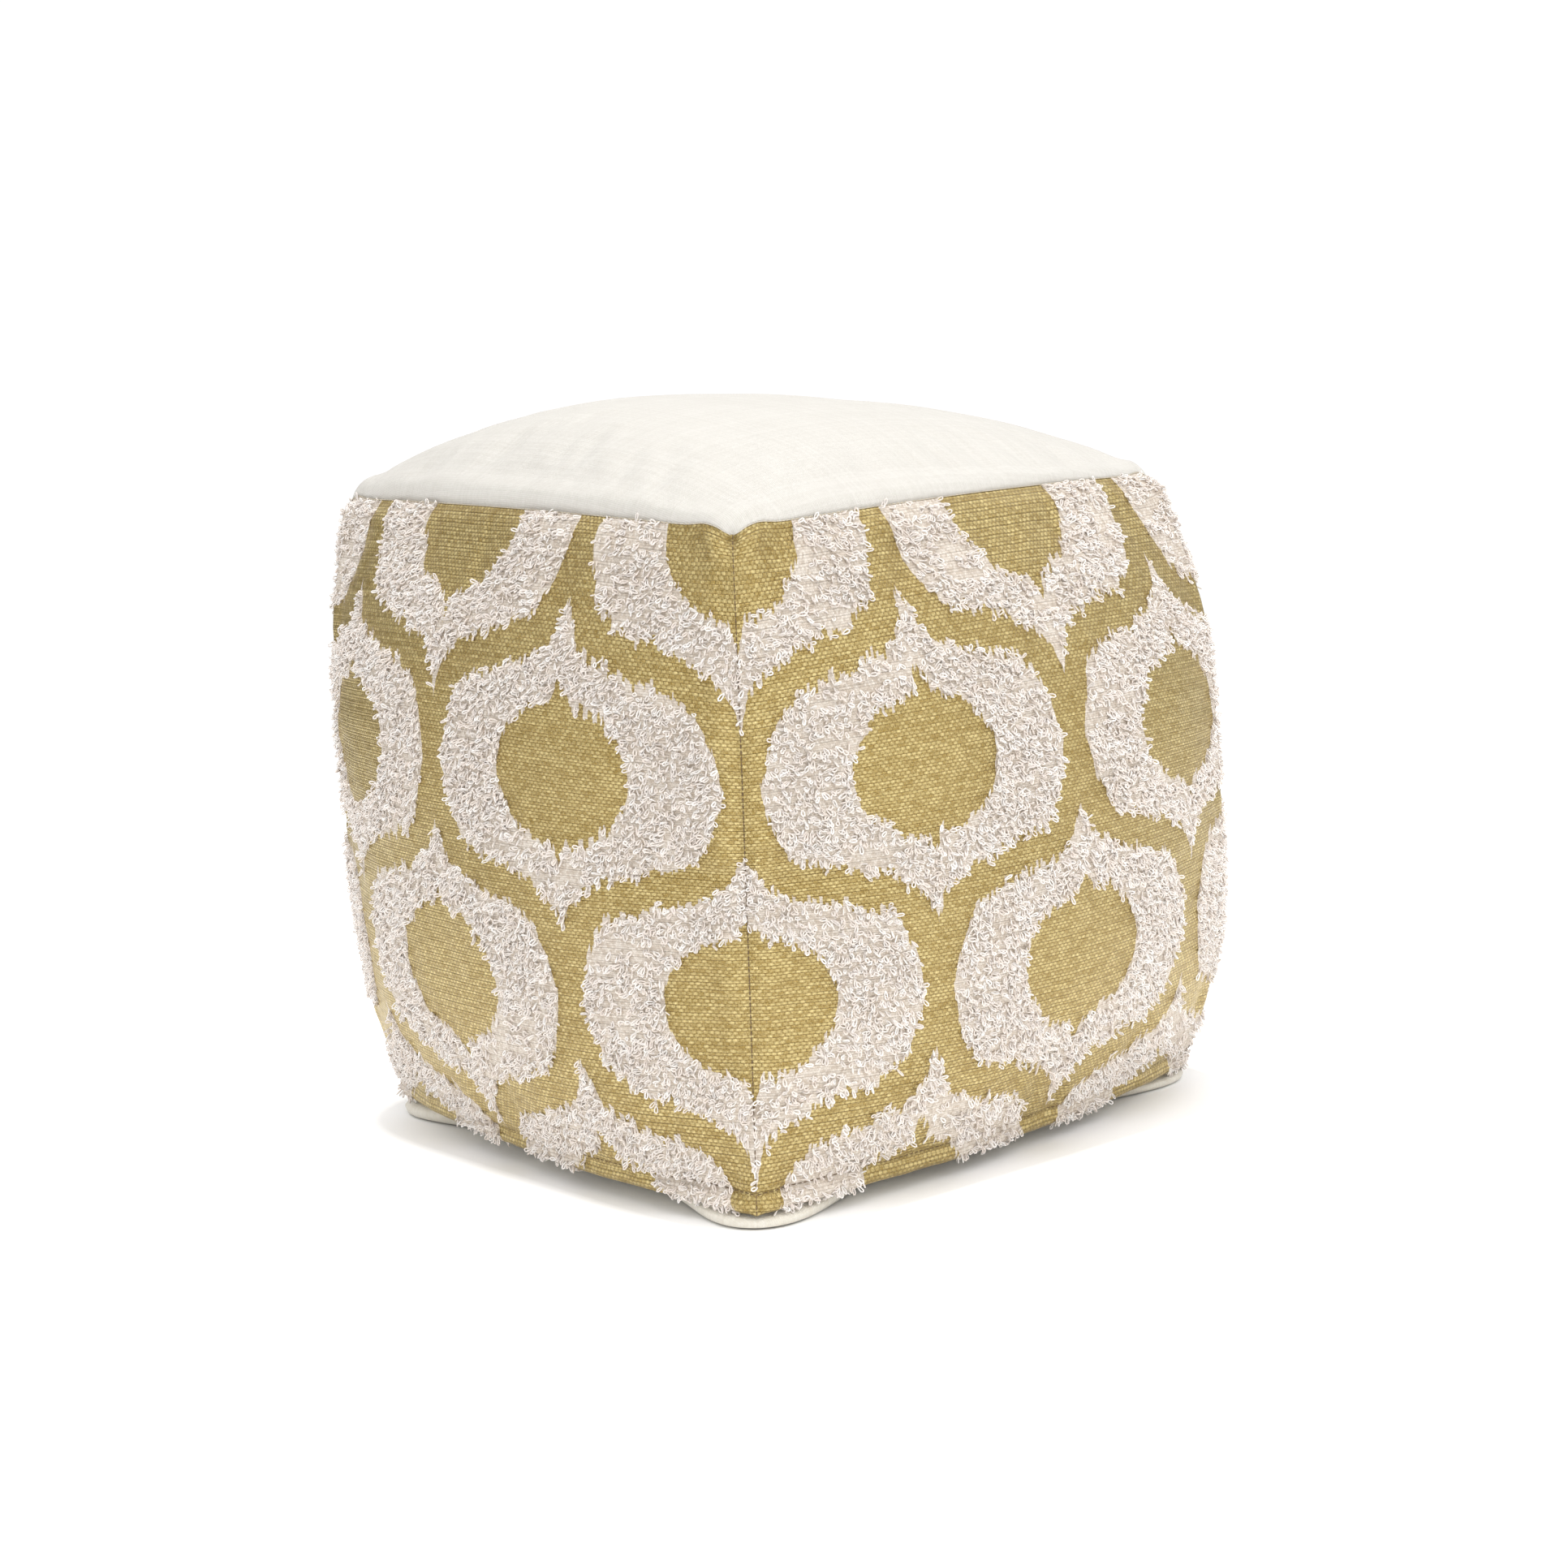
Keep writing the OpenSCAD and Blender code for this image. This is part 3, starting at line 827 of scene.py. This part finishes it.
def place(obj, slot, *nodes, body="cover"):
    """Rides on a body, takes a slot's finish, and stands for CAD nodes."""
    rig.ride(obj, body)
    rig.slot(obj, slot)
    if nodes:
        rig.replaces(obj, *nodes)
    return obj


def pattern_place(k, s, w):
    """Pattern coordinates on a side. Column 0 lies on the seam of the front and right sides."""
    start = COLUMNS_PER_SIDE * (-1, 0, 1, -2)[k]
    u = start + COLUMNS_PER_SIDE * (s + 1) / 2
    if k == 1:
        u = u + (0.045 - 0.034 * w) * u * (3 - u) * (u < 3)
    return u, w * PANEL_DROP / REPEAT


def cloth_lengths(points):
    """How far each point of a grid is from its middle lines, along the cloth."""
    steps = [np.linalg.norm(np.diff(points, axis=axis), axis=-1) for axis in (1, 0)]
    x = np.pad(np.cumsum(steps[0], 1), ((0, 0), (1, 0)))
    y = np.pad(np.cumsum(steps[1], 0), ((1, 0), (0, 0)))
    rows, cols = x.shape
    return np.stack([x - x[:, cols // 2, None], y[rows // 2] - y], -1) / 1000


side_grids = [side_grid(k) for k in range(4)]
sheets = []
for k, side in enumerate(SIDES):
    s, w = np.meshgrid(ACROSS, DOWN)
    uv = np.stack(pattern_place(k, s, w), -1)
    panel = cloth_panel("side_" + side, side_grids[k], CLOTH, SIDE_CLOTH, uv)
    place(panel, "looped_gold_cloth", "side_panel_" + side)
    sheets.append((panel, (PANEL_WIDTH, PANEL_DROP)))

top_points = top_grid()
cover_top = cloth_panel("top", top_points, 1.2, TOP_CLOTH, cloth_lengths(top_points))
sheets.append((place(cover_top, "plain_cotton", "top_panel"), (PANEL_WIDTH, PANEL_WIDTH)))


# ---- pile ----

LOOP_STEP = 2.95
LOOP_CORNERS = 8
YARN_RADIUS = 0.54
LOOPS_PER_PIECE = 4100


def interpolated(grid, s, w):
    """Values of a side's grid at scattered places."""
    x = np.interp(s, ACROSS, np.arange(len(ACROSS)))
    y = np.interp(w, DOWN, np.arange(len(DOWN)))
    x0 = np.minimum(x.astype(int), len(ACROSS) - 2)
    y0 = np.minimum(y.astype(int), len(DOWN) - 2)
    fx, fy = (x - x0)[:, None], (y - y0)[:, None]
    return ((grid[y0, x0] * (1 - fx) + grid[y0, x0 + 1] * fx) * (1 - fy)
            + (grid[y0 + 1, x0] * (1 - fx) + grid[y0 + 1, x0 + 1] * fx) * fy)


def loop_roots(k, rng):
    """Places of a side's loops: scattered over the pile, thinner in bands along the weft."""
    cols, rows = int(PANEL_WIDTH / LOOP_STEP), int(PANEL_DROP / LOOP_STEP)
    x, y = np.meshgrid(np.arange(cols) + 0.5, np.arange(rows) + 0.5)
    x = (x.ravel() + rng.uniform(-0.5, 0.5, x.size)) / cols
    y = (y.ravel() + rng.uniform(-0.5, 0.5, y.size)) / rows
    s, w = 2 * x - 1, y
    bare = noise(x * PANEL_WIDTH / 17, y * PANEL_DROP / 3.6, 70 + k)
    bare = bare + 0.5 * noise(x * PANEL_WIDTH / 60, y * PANEL_DROP / 45, 80 + k)
    in_groove = np.abs((1 - y) * PANEL_DROP - HEM_BAND) < 1.3
    bald = 0.05 + 0.9 * ((bare > 0.42) | in_groove)
    kept = (gold(*pattern_place(k, s, w)) < 0.5) & (rng.random(x.size) > bald)
    return s[kept], w[kept]


def pile_loops(k, rng):
    """Points of every loop of a side, as an array of loops, rings and ring corners."""
    s, w = loop_roots(k, rng)
    count = len(s)
    grid = side_grids[k]
    root, out = interpolated(grid, s, w), unit(interpolated(grid_normals(grid), s, w))
    down = unit(interpolated(np.gradient(grid, axis=0), s, w))
    across = np.cross(out, down)
    turn = rng.normal(0, 1.25, count)[:, None]
    lean = rng.uniform(0.15, 1.0, count)[:, None]
    twist = rng.uniform(-1.1, 1.1, count)[:, None]
    forward = np.cos(turn) * down + np.sin(turn) * across
    beside = np.cross(out, forward)
    reach = np.cos(lean) * forward + np.sin(lean) * out
    lifted = np.cos(lean) * out - np.sin(lean) * forward
    beside = np.cos(twist) * beside + np.sin(twist) * lifted
    length = rng.uniform(3.6, 5.9, count)[:, None]
    width = rng.uniform(2.0, 3.1, count)[:, None]
    angle = np.arange(LOOP_CORNERS) * 2 * np.pi / LOOP_CORNERS
    sway = width / 2 * np.sin(angle) * (0.4 + 0.6 * np.sin(angle / 2) ** 2)
    climb = length * (1 - np.cos(angle)) / 2 - 0.5
    centres = root[:, None] + beside[:, None] * sway[..., None] + reach[:, None] * climb[..., None]
    along = unit(np.roll(centres, -1, 1) - np.roll(centres, 1, 1))
    face = np.broadcast_to(np.cross(beside, reach)[:, None], centres.shape)
    radii = rng.uniform(0.85, 1.15, count)[:, None] * YARN_RADIUS
    radii = np.broadcast_to(radii, centres.shape[:2])
    return tube_rings(centres, along, face, radii, 3)


def add_pile(k):
    rng = np.random.default_rng(100 + k)
    loops = pile_loops(k, rng)
    tones = rng.choice(len(YARNS), len(loops), p=(0.42, 0.22, 0.16, 0.20))
    one = grid_faces(LOOP_CORNERS, 3, closed_rows=True, closed_cols=True)
    each = LOOP_CORNERS * 3
    pieces = math.ceil(len(loops) / LOOPS_PER_PIECE)
    split = zip(np.array_split(loops, pieces), np.array_split(tones, pieces))
    for n, (part, tone) in enumerate(split):
        faces = (one[None] + np.arange(len(part))[:, None, None] * each).reshape(-1, 4)
        name = f"pile_{SIDES[k]}_{n + 1}"
        obj = add_object(name, part.reshape(-1, 3), faces, YARNS, tones=np.repeat(tone, len(one)))
        place(obj, "looped_gold_cloth")


for k in range(4):
    add_pile(k)


# ---- base ----

OUTLINE_STEPS = 170  # along each side
ROUNDING = 24        # steps each way that the outline's corners are averaged over
BULGE_REACH = 110    # how far from a corner the lip bulges out

def perimeter(w):
    """Points round the cover at one level, from the front left corner, with their closeness to a
    corner."""
    s = np.linspace(-1, 1, OUTLINE_STEPS)[:-1]
    points = np.concatenate([side_shape(k, s, w) for k in range(4)])
    return points, np.tile(near(PANEL_WIDTH / 2 * (1 - np.abs(s)), BULGE_REACH), 4)


def half_outline(side, w):
    """The part of the outline on one side of the zip's line, anticlockwise from above, with
    points on that line at both ends."""
    points, corner = perimeter(w)
    rows = np.column_stack([points, corner])
    inside = rows[:, 0] * side > 0
    start = np.flatnonzero(inside & ~np.roll(inside, 1))[0]
    rows = np.roll(rows, 1 - start, axis=0)[:inside.sum() + 2]
    for end, next_in in ((0, 1), (-1, -2)):
        share = rows[next_in, 0] / (rows[next_in, 0] - rows[end, 0])
        rows[end] = rows[next_in] + (rows[end] - rows[next_in]) * share
    return rows[:, :3], rows[:, 3]


SLOT_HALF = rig.box("zip_tape_right")[1][0] / MM - 6
SLOT_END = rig.box("zip_tape_right")[1][1] / MM - 2
TAPE_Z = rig.box("zip_tape_right")[0][2] / MM


def centre_line(side, front, back, count):
    """The base's inner edge: the seam on the middle line, and the zip's slot between its ends."""
    x = 0.5 * side
    path = np.array([[x, front], [x, -SLOT_END - 1], [SLOT_HALF * side, -SLOT_END],
                     [SLOT_HALF * side, SLOT_END], [x, SLOT_END + 1], [x, back]])
    if side < 0:
        path = path[::-1]
    lengths = np.concatenate([[0], np.cumsum(np.linalg.norm(np.diff(path, axis=0), axis=1))])
    at = np.linspace(0, lengths[-1], count)
    return np.stack([np.interp(at, lengths, path[:, i]) for i in range(2)], -1)


def base_half(side):
    """Half of the base: up inside the hem, round the lip, across the flat and up at the slot."""
    outline, corner = half_outline(side, 1.0)
    weights = np.hanning(2 * ROUNDING + 3)[1:-1] / np.hanning(2 * ROUNDING + 3).sum()
    padded = np.pad(outline[:, :2], ((ROUNDING, ROUNDING), (0, 0)), "reflect", reflect_type="odd")
    rounded = np.stack([np.convolve(padded[:, i], weights, "valid") for i in range(2)], -1)
    along = unit(np.gradient(rounded, axis=0))
    inward = np.stack([-along[:, 1], along[:, 0]], -1)
    hem = outline[:, 2]
    # How far in, how much less so near a corner, and how high.
    lip = [(4.2, 0.0, hem + 12), (4.4, 0.0, hem + 3), (5.2, 1.5, hem - 0.5),
           (16.0, 17.0, hem - 1.5), (28.0, 34.0, 0.74 * hem), (39.0, 48.0, 0.46 * hem),
           (47.0, 55.0, 0.18 * hem), (53.0, 57.0, 0.04 * hem + 0.1)]
    rows = []
    for step, (inset, bulge, height) in enumerate(lip):
        share = min(step / 3, 1)
        level = outline[:, :2] * (1 - share) + rounded * share
        level = level + inward * (inset - bulge * corner)[:, None]
        rows.append(np.column_stack([level, np.broadcast_to(height, hem.shape)]))
    front, back = sorted(rows[-1][[0, -1], 1])
    inner = centre_line(side, front, back, len(outline))
    start = rows[-1].copy()
    for share in np.linspace(0, 1, 46)[1:]:
        flat = start[:, :2] * (1 - share) + inner * share
        lift = 0.35 + 0.3 * noise(flat[:, 0] / 26, flat[:, 1] / 22, 90)
        rows.append(np.column_stack([flat, np.maximum(lift, 0.05)]))
    in_slot = np.abs(inner[:, 1]) < SLOT_END + 0.5
    for rise in (0.35, 0.7, 0.97):
        height = np.where(in_slot, rise * TAPE_Z, rise * 3.5)
        rows.append(np.column_stack([inner + [0.15 * side, 0], height]))
    points = np.array(rows)
    return points, points[..., :2] / (2 * PANEL_WIDTH) + 0.5


for side, name in ((-1, "left"), (1, "right")):
    points, uv = base_half(side)
    half = cloth_panel("base_" + name, points, 0.9, BASE_CLOTH, uv)
    place(half, "plain_cotton", "base_panel_" + name)
    sheets.append((half, (PANEL_WIDTH / 2, PANEL_WIDTH)))


# ---- threads ----

def add_thread(name, parts, material, node):
    vertices, faces = joined(parts)
    place(add_object(name, vertices, faces, [material]), "thread", node)


def helix(centres, out, radius, thread, pitch):
    """A thread wound round a path, as a tube with open ends tucked under the cloth."""
    middles, along = resampled(centres, pitch / 8)
    turn = np.arange(len(middles))[:, None] * np.pi / 4
    side = unit(np.cross(along, out))
    around = np.cos(turn) * side + np.sin(turn) * np.cross(along, side)
    path = middles + radius * around
    rings = tube_rings(path, unit(np.gradient(path, axis=0)), around,
                       np.full(len(path), thread), 4)
    return rings.reshape(-1, 3), grid_faces(len(path), 4, closed_cols=True)


hem_row = np.argmin(np.abs(DOWN * PANEL_DROP - (PANEL_DROP - HEM_BAND)))
corner_runs, top_runs, hem_runs, overlock_runs = [], [], [], []
for k in range(4):
    grid, outward = side_grids[k], side_direction(k)
    bisector = corner_direction(k)
    corner_runs.append(stitch_row(grid[:, 0] + 0.25 * bisector, bisector, 2.6, 1.0, 0.34))
    top_runs.append(stitch_row(grid[0] + 0.2 * edge_direction(k), edge_direction(k), 3.0, 0.7, 0.3))
    hem_runs.append(stitch_row(grid[hem_row] + 0.3 * outward, outward, 3.4, 1.0, 0.32))
    edge = seam_line(k, np.linspace(0.05, 0.95, 200)) - 14 * bisector
    overlock_runs.append(helix(edge, bisector, 1.7, 0.3, 3.2))
add_thread("stitches_corners", corner_runs, BROWN_THREAD, "corner_stitching")
add_thread("stitches_top", top_runs, CREAM_THREAD, "top_stitching")
add_thread("stitches_hem", hem_runs, BROWN_THREAD, "hem_stitching")
add_thread("overlock", overlock_runs, CREAM_THREAD, "corner_overlock")


# ---- lining and beads ----

LINING_INSET, BEADS_INSET = 10.0, 12.5
LINING_FLOOR, BEADS_FLOOR = 2.8, 5.0
LINING_CEILING, BEADS_CEILING = 7.0, 10.0
# The bag's foot: how much further in, and a height as a share of the hem's plus millimetres,
# or plus the bag's floor where that is 0.
BAG_FOOT = ((2, 1.0, 9.0), (10, 1.0, 2.5), (24, 0.7, 0.0), (38, 0.36, 0.0), (49, 0.06, 0.0),
            (60, 0.0, 0.0))


def drawn_in(points, inset):
    """Points moved in towards the middle axis, and less so near it."""
    r = np.hypot(points[..., 0], points[..., 1])
    scale = 1 - inset / (r + 30)
    return points * np.stack([scale, scale, np.ones_like(r)], -1)


def bag_wall(inset, floor_z):
    """Rows of points down the inside of the cover, and over the base's lip to the bag's floor."""
    levels = [drawn_in(perimeter(w)[0], inset) for w in np.linspace(0.015, 0.955, 86)]
    hem = perimeter(1.0)[0]
    for further, share, more in BAG_FOOT:
        ring = drawn_in(hem, inset + further)
        ring[:, 2] = hem[:, 2] * share + (more or floor_z)
        levels.append(ring)
    levels = np.array(levels)
    return np.concatenate([levels, levels[:, :1]], axis=1)


def over_zip(x, y):
    """From 0 to 1, how far the bag's floor lifts to pass over the zip."""
    beside, beyond = np.abs(x) - 14, np.abs(y) - SLOT_END - 3
    return 1 / (1 + np.exp(beside / 1.6)) / (1 + np.exp(beyond / 1.6))


def bag_floor(wall, floor_z):
    """Rows of points from the foot of a wall to the middle, passing over the zip."""
    points = wall[-1] * np.linspace(1, 0.003, 60)[:, None, None]
    points[..., 2] = floor_z + 8.0 * over_zip(points[..., 0], points[..., 1])
    return points


def bag_lid(inset, gap):
    """Rows of points from the middle to the outline, under the dome."""
    s = np.linspace(-1, 1, OUTLINE_STEPS)[:-1]
    one = np.ones_like(s)
    p, q = np.concatenate([s, one, -s, -one]), np.concatenate([-one, s, one, -s])
    p, q = np.append(p, p[0]), np.append(q, q[0])
    shares = np.linspace(0.003, 1, 60)[:, None]
    return drawn_in(top_shape(p * shares, q * shares), inset) - [0, 0, gap]


def add_lining():
    wall = bag_wall(LINING_INSET, LINING_FLOOR)
    pieces = (("liner_sides", wall), ("liner_top", bag_lid(LINING_INSET, LINING_CEILING)),
              ("liner_base", bag_floor(wall, LINING_FLOOR)))
    for node, points in pieces:
        relief = 0.5 * noise(points[..., 0] / 16, points[..., 1] / 16 + points[..., 2] / 14, 95)
        points = points + relief[..., None] * grid_normals(points) * (points[..., 2:] > 12)
        vertices, faces = cloth_shell(points, 0.8)
        place(add_object("bag_" + node, vertices, faces, [LINING]), "lining", node)


def add_beads():
    """The filling, as one closed form whose surface is bumpy with beads."""
    wall = bag_wall(BEADS_INSET, BEADS_FLOOR)
    lid, floor_rows = bag_lid(BEADS_INSET, BEADS_CEILING), bag_floor(wall, BEADS_FLOOR)
    points = np.concatenate([lid, wall, floor_rows[1:]])[:, :-1]
    bumps = noise(points[..., 0] / 4, points[..., 1] / 4 + points[..., 2] / 4, 97)
    outwards = np.stack([points[..., 0], points[..., 1], 0 * points[..., 0]], -1)
    points = points - (0.6 + 0.5 * bumps)[..., None] * unit(outwards)
    faces = grid_faces(*points.shape[:2], closed_cols=True)
    obj = add_object("beads", points.reshape(-1, 3), faces, [BEADS])
    place(obj, "beads", "bead_filling")
    return obj


add_lining()
beads = add_beads()


# ---- zip ----

SHARP_EDGE = math.radians(25)

def rounded_copy(node, name, width, material, slot, body="cover"):
    """A CAD piece with its edges rounded."""
    work = bmesh.new()
    work.from_mesh(frame["nodes"][node].data)
    bmesh.ops.remove_doubles(work, verts=work.verts, dist=1e-6)
    bmesh.ops.dissolve_limit(work, angle_limit=math.radians(2), verts=work.verts, edges=work.edges)
    sharp = [e for e in work.edges if e.is_manifold and e.calc_face_angle() > SHARP_EDGE]
    bmesh.ops.bevel(work, geom=sharp, offset=width * MM, segments=2, profile=0.6, affect="EDGES",
                    clamp_overlap=True)
    mesh = bpy.data.meshes.new(name)
    work.to_mesh(mesh)
    work.free()
    mesh.materials.append(material)
    obj = bpy.data.objects.new(name, mesh)
    bpy.context.scene.collection.objects.link(obj)
    return place(obj, slot, node, body=body)


def zip_tape(side):
    node = "zip_tape_" + ("right" if side > 0 else "left")
    low, high = (np.array(c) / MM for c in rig.box(node))
    inner, outer = (low[0], high[0]) if side > 0 else (high[0], low[0])
    x, y = np.meshgrid(np.linspace(inner, outer, 9), np.linspace(low[1], high[1], 170)[::-side])
    z = low[2] + 0.1 * noise(x / 5, y / 14, 60) * (np.abs(x) > 6)
    tape = cloth_panel("tape_" + node[9:], np.stack([x, y, z], -1), 0.55, ZIP_TAPE,
                       np.stack([x, y], -1) / 500 + 0.5)
    place(tape, "zip_tape", node)


for side, name in ((-1, "left"), (1, "right")):
    zip_tape(side)
    rounded_copy("zip_teeth_" + name, "teeth_" + name, 0.25, ZIP_TEETH, "zip_teeth")
rounded_copy("zip_top_stop", "stop_top", 0.3, ZIP_METAL, "zip_metal")
rounded_copy("zip_bottom_stop", "stop_bottom", 0.3, ZIP_METAL, "zip_metal")
rounded_copy("zip_slider", "slider", 0.12, ZIP_METAL, "zip_metal", "slider")
rounded_copy("zip_pull", "pull", 0.12, ZIP_METAL, "zip_metal", "pull")
tape_seams = [stitch_row(np.array([[x, -SLOT_END, TAPE_Z + 0.8], [x, SLOT_END, TAPE_Z + 0.8]]),
                          np.array([0.0, 0.0, 1.0]), 2.6, 0.8, 0.25)
              for x in (-SLOT_HALF - 1.2, SLOT_HALF + 1.2)]
add_thread("stitches_zip", tape_seams, CREAM_THREAD, "zip_stitching")


# ---- floor, light and camera ----

FLOOR_SIZE = 3.2  # metres, as all of the stage is
GLOW_EDGE = 0.238


def add_floor():
    """White paper, whose material glows outside the pouf's footprint: painted light, not a lamp, which fades the
    floor's shadow beyond a tight contact shadow.
    """
    bpy.ops.mesh.primitive_plane_add(size=FLOOR_SIZE)
    floor_object = bpy.context.object
    floor_object.name = "floor"
    paper, tree, shader = new_material("floor")
    coords = tree.nodes.new("ShaderNodeTexCoord")
    split = tree.nodes.new("ShaderNodeSeparateXYZ")
    tree.links.new(coords.outputs["Object"], split.inputs[0])
    x, y = (Field(tree, split.outputs[i]) / GLOW_EDGE for i in range(2))
    x, y = x * x * x, y * y * y
    # Painted light: the floor's emission rises from nothing at GLOW_EDGE to its full strength a little further out.
    glow = 0.45 * clamped((x * x + y * y - 1.0) * 2.2)
    set_values(shader, Base_Color=(0.93, 0.93, 0.93), Roughness=0.9,
               Emission_Color=(1.0, 1.0, 1.0))
    tree.links.new(glow.socket, shader.inputs["Emission Strength"])
    floor_object.data.materials.append(paper)
    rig.stage(floor_object)


def turned(right, up, away, at):
    """The matrix of a light or camera that looks against the direction away, from a place."""
    return Matrix([[right[i], up[i], away[i], at[i]] for i in range(3)] + [[0, 0, 0, 1]])


def add_light(name, at, aim, size, power):
    light = bpy.data.lights.new(name, "AREA")
    light.shape = "SQUARE"
    light.size = size
    light.energy = power
    obj = bpy.data.objects.new(name, light)
    away = unit(np.array(at, float) - np.array(aim, float))
    side = unit(np.cross([0, 0, 1], away))
    obj.matrix_world = turned(side, np.cross(away, side), away, at)
    bpy.context.scene.collection.objects.link(obj)


def add_world():
    """Soft light from all round, a little dimmer low down, and a white backdrop for the camera."""
    world = bpy.data.worlds.new("studio")
    bpy.context.scene.world = world
    world.use_nodes = True
    tree = world.node_tree
    background = tree.nodes["Background"]
    path = tree.nodes.new("ShaderNodeLightPath")
    coords = tree.nodes.new("ShaderNodeTexCoord")
    split = tree.nodes.new("ShaderNodeSeparateXYZ")
    tree.links.new(coords.outputs["Generated"], split.inputs[0])
    height = Field(tree, split.outputs[2])
    rightward = 0.77 * Field(tree, split.outputs[0]) + 0.64 * Field(tree, split.outputs[1])
    glow = 0.27 + 0.24 * rightward + 1.34 * clamped(height * 1.1)
    seen = Field(tree, path.outputs["Is Camera Ray"])
    strength = calc("MAXIMUM", glow, seen * 1.05)
    tree.links.new(strength.socket, background.inputs["Strength"])
    background.inputs["Color"].default_value = (1, 1, 1, 1)


def add_camera():
    azimuth, elevation, roll = math.radians(50.54), math.radians(9.515), math.radians(-3.14)
    distance, aim = 2.285, np.array([0, 0, 0.228])
    away = np.array([math.sin(azimuth) * math.cos(elevation),
                     -math.cos(azimuth) * math.cos(elevation), math.sin(elevation)])
    level = np.array([math.cos(azimuth), math.sin(azimuth), 0])
    upright = np.cross(away, level)
    right = level * math.cos(roll) + upright * math.sin(roll)
    up = upright * math.cos(roll) - level * math.sin(roll)
    data = bpy.data.cameras.new("camera")
    data.lens = 75.6
    data.sensor_width = 36
    camera = bpy.data.objects.new("camera", data)
    at = aim + away * distance
    camera.matrix_world = turned(right, up, away, at)
    bpy.context.scene.collection.objects.link(camera)
    bpy.context.scene.camera = camera


add_floor()
add_world()
add_light("key", (1.9, 0.2, 1.9), (0, 0, 0.25), 1.3, 9)
add_light("fill", (-1.0, -2.3, 1.2), (0, 0, 0.25), 1.6, 5)
add_light("top_front", (1.0, -0.95, 2.2), (0, 0, 0.3), 1.4, 13)
add_camera()
bpy.context.scene.view_settings.view_transform = "Standard"

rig.padded(beads, fill=0.9)
for panel, (width, length) in sheets:
    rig.sheet(panel, flat=(width * MM, length * MM), held="stretched", rests_on=["beads"])

visual_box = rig.bounds()
with open("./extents.json", "w") as out:
    json.dump({"cad": [[float(x) for x in corner] for corner in cad_box],
               "visual": [[float(x) for x in corner] for corner in visual_box]}, out)
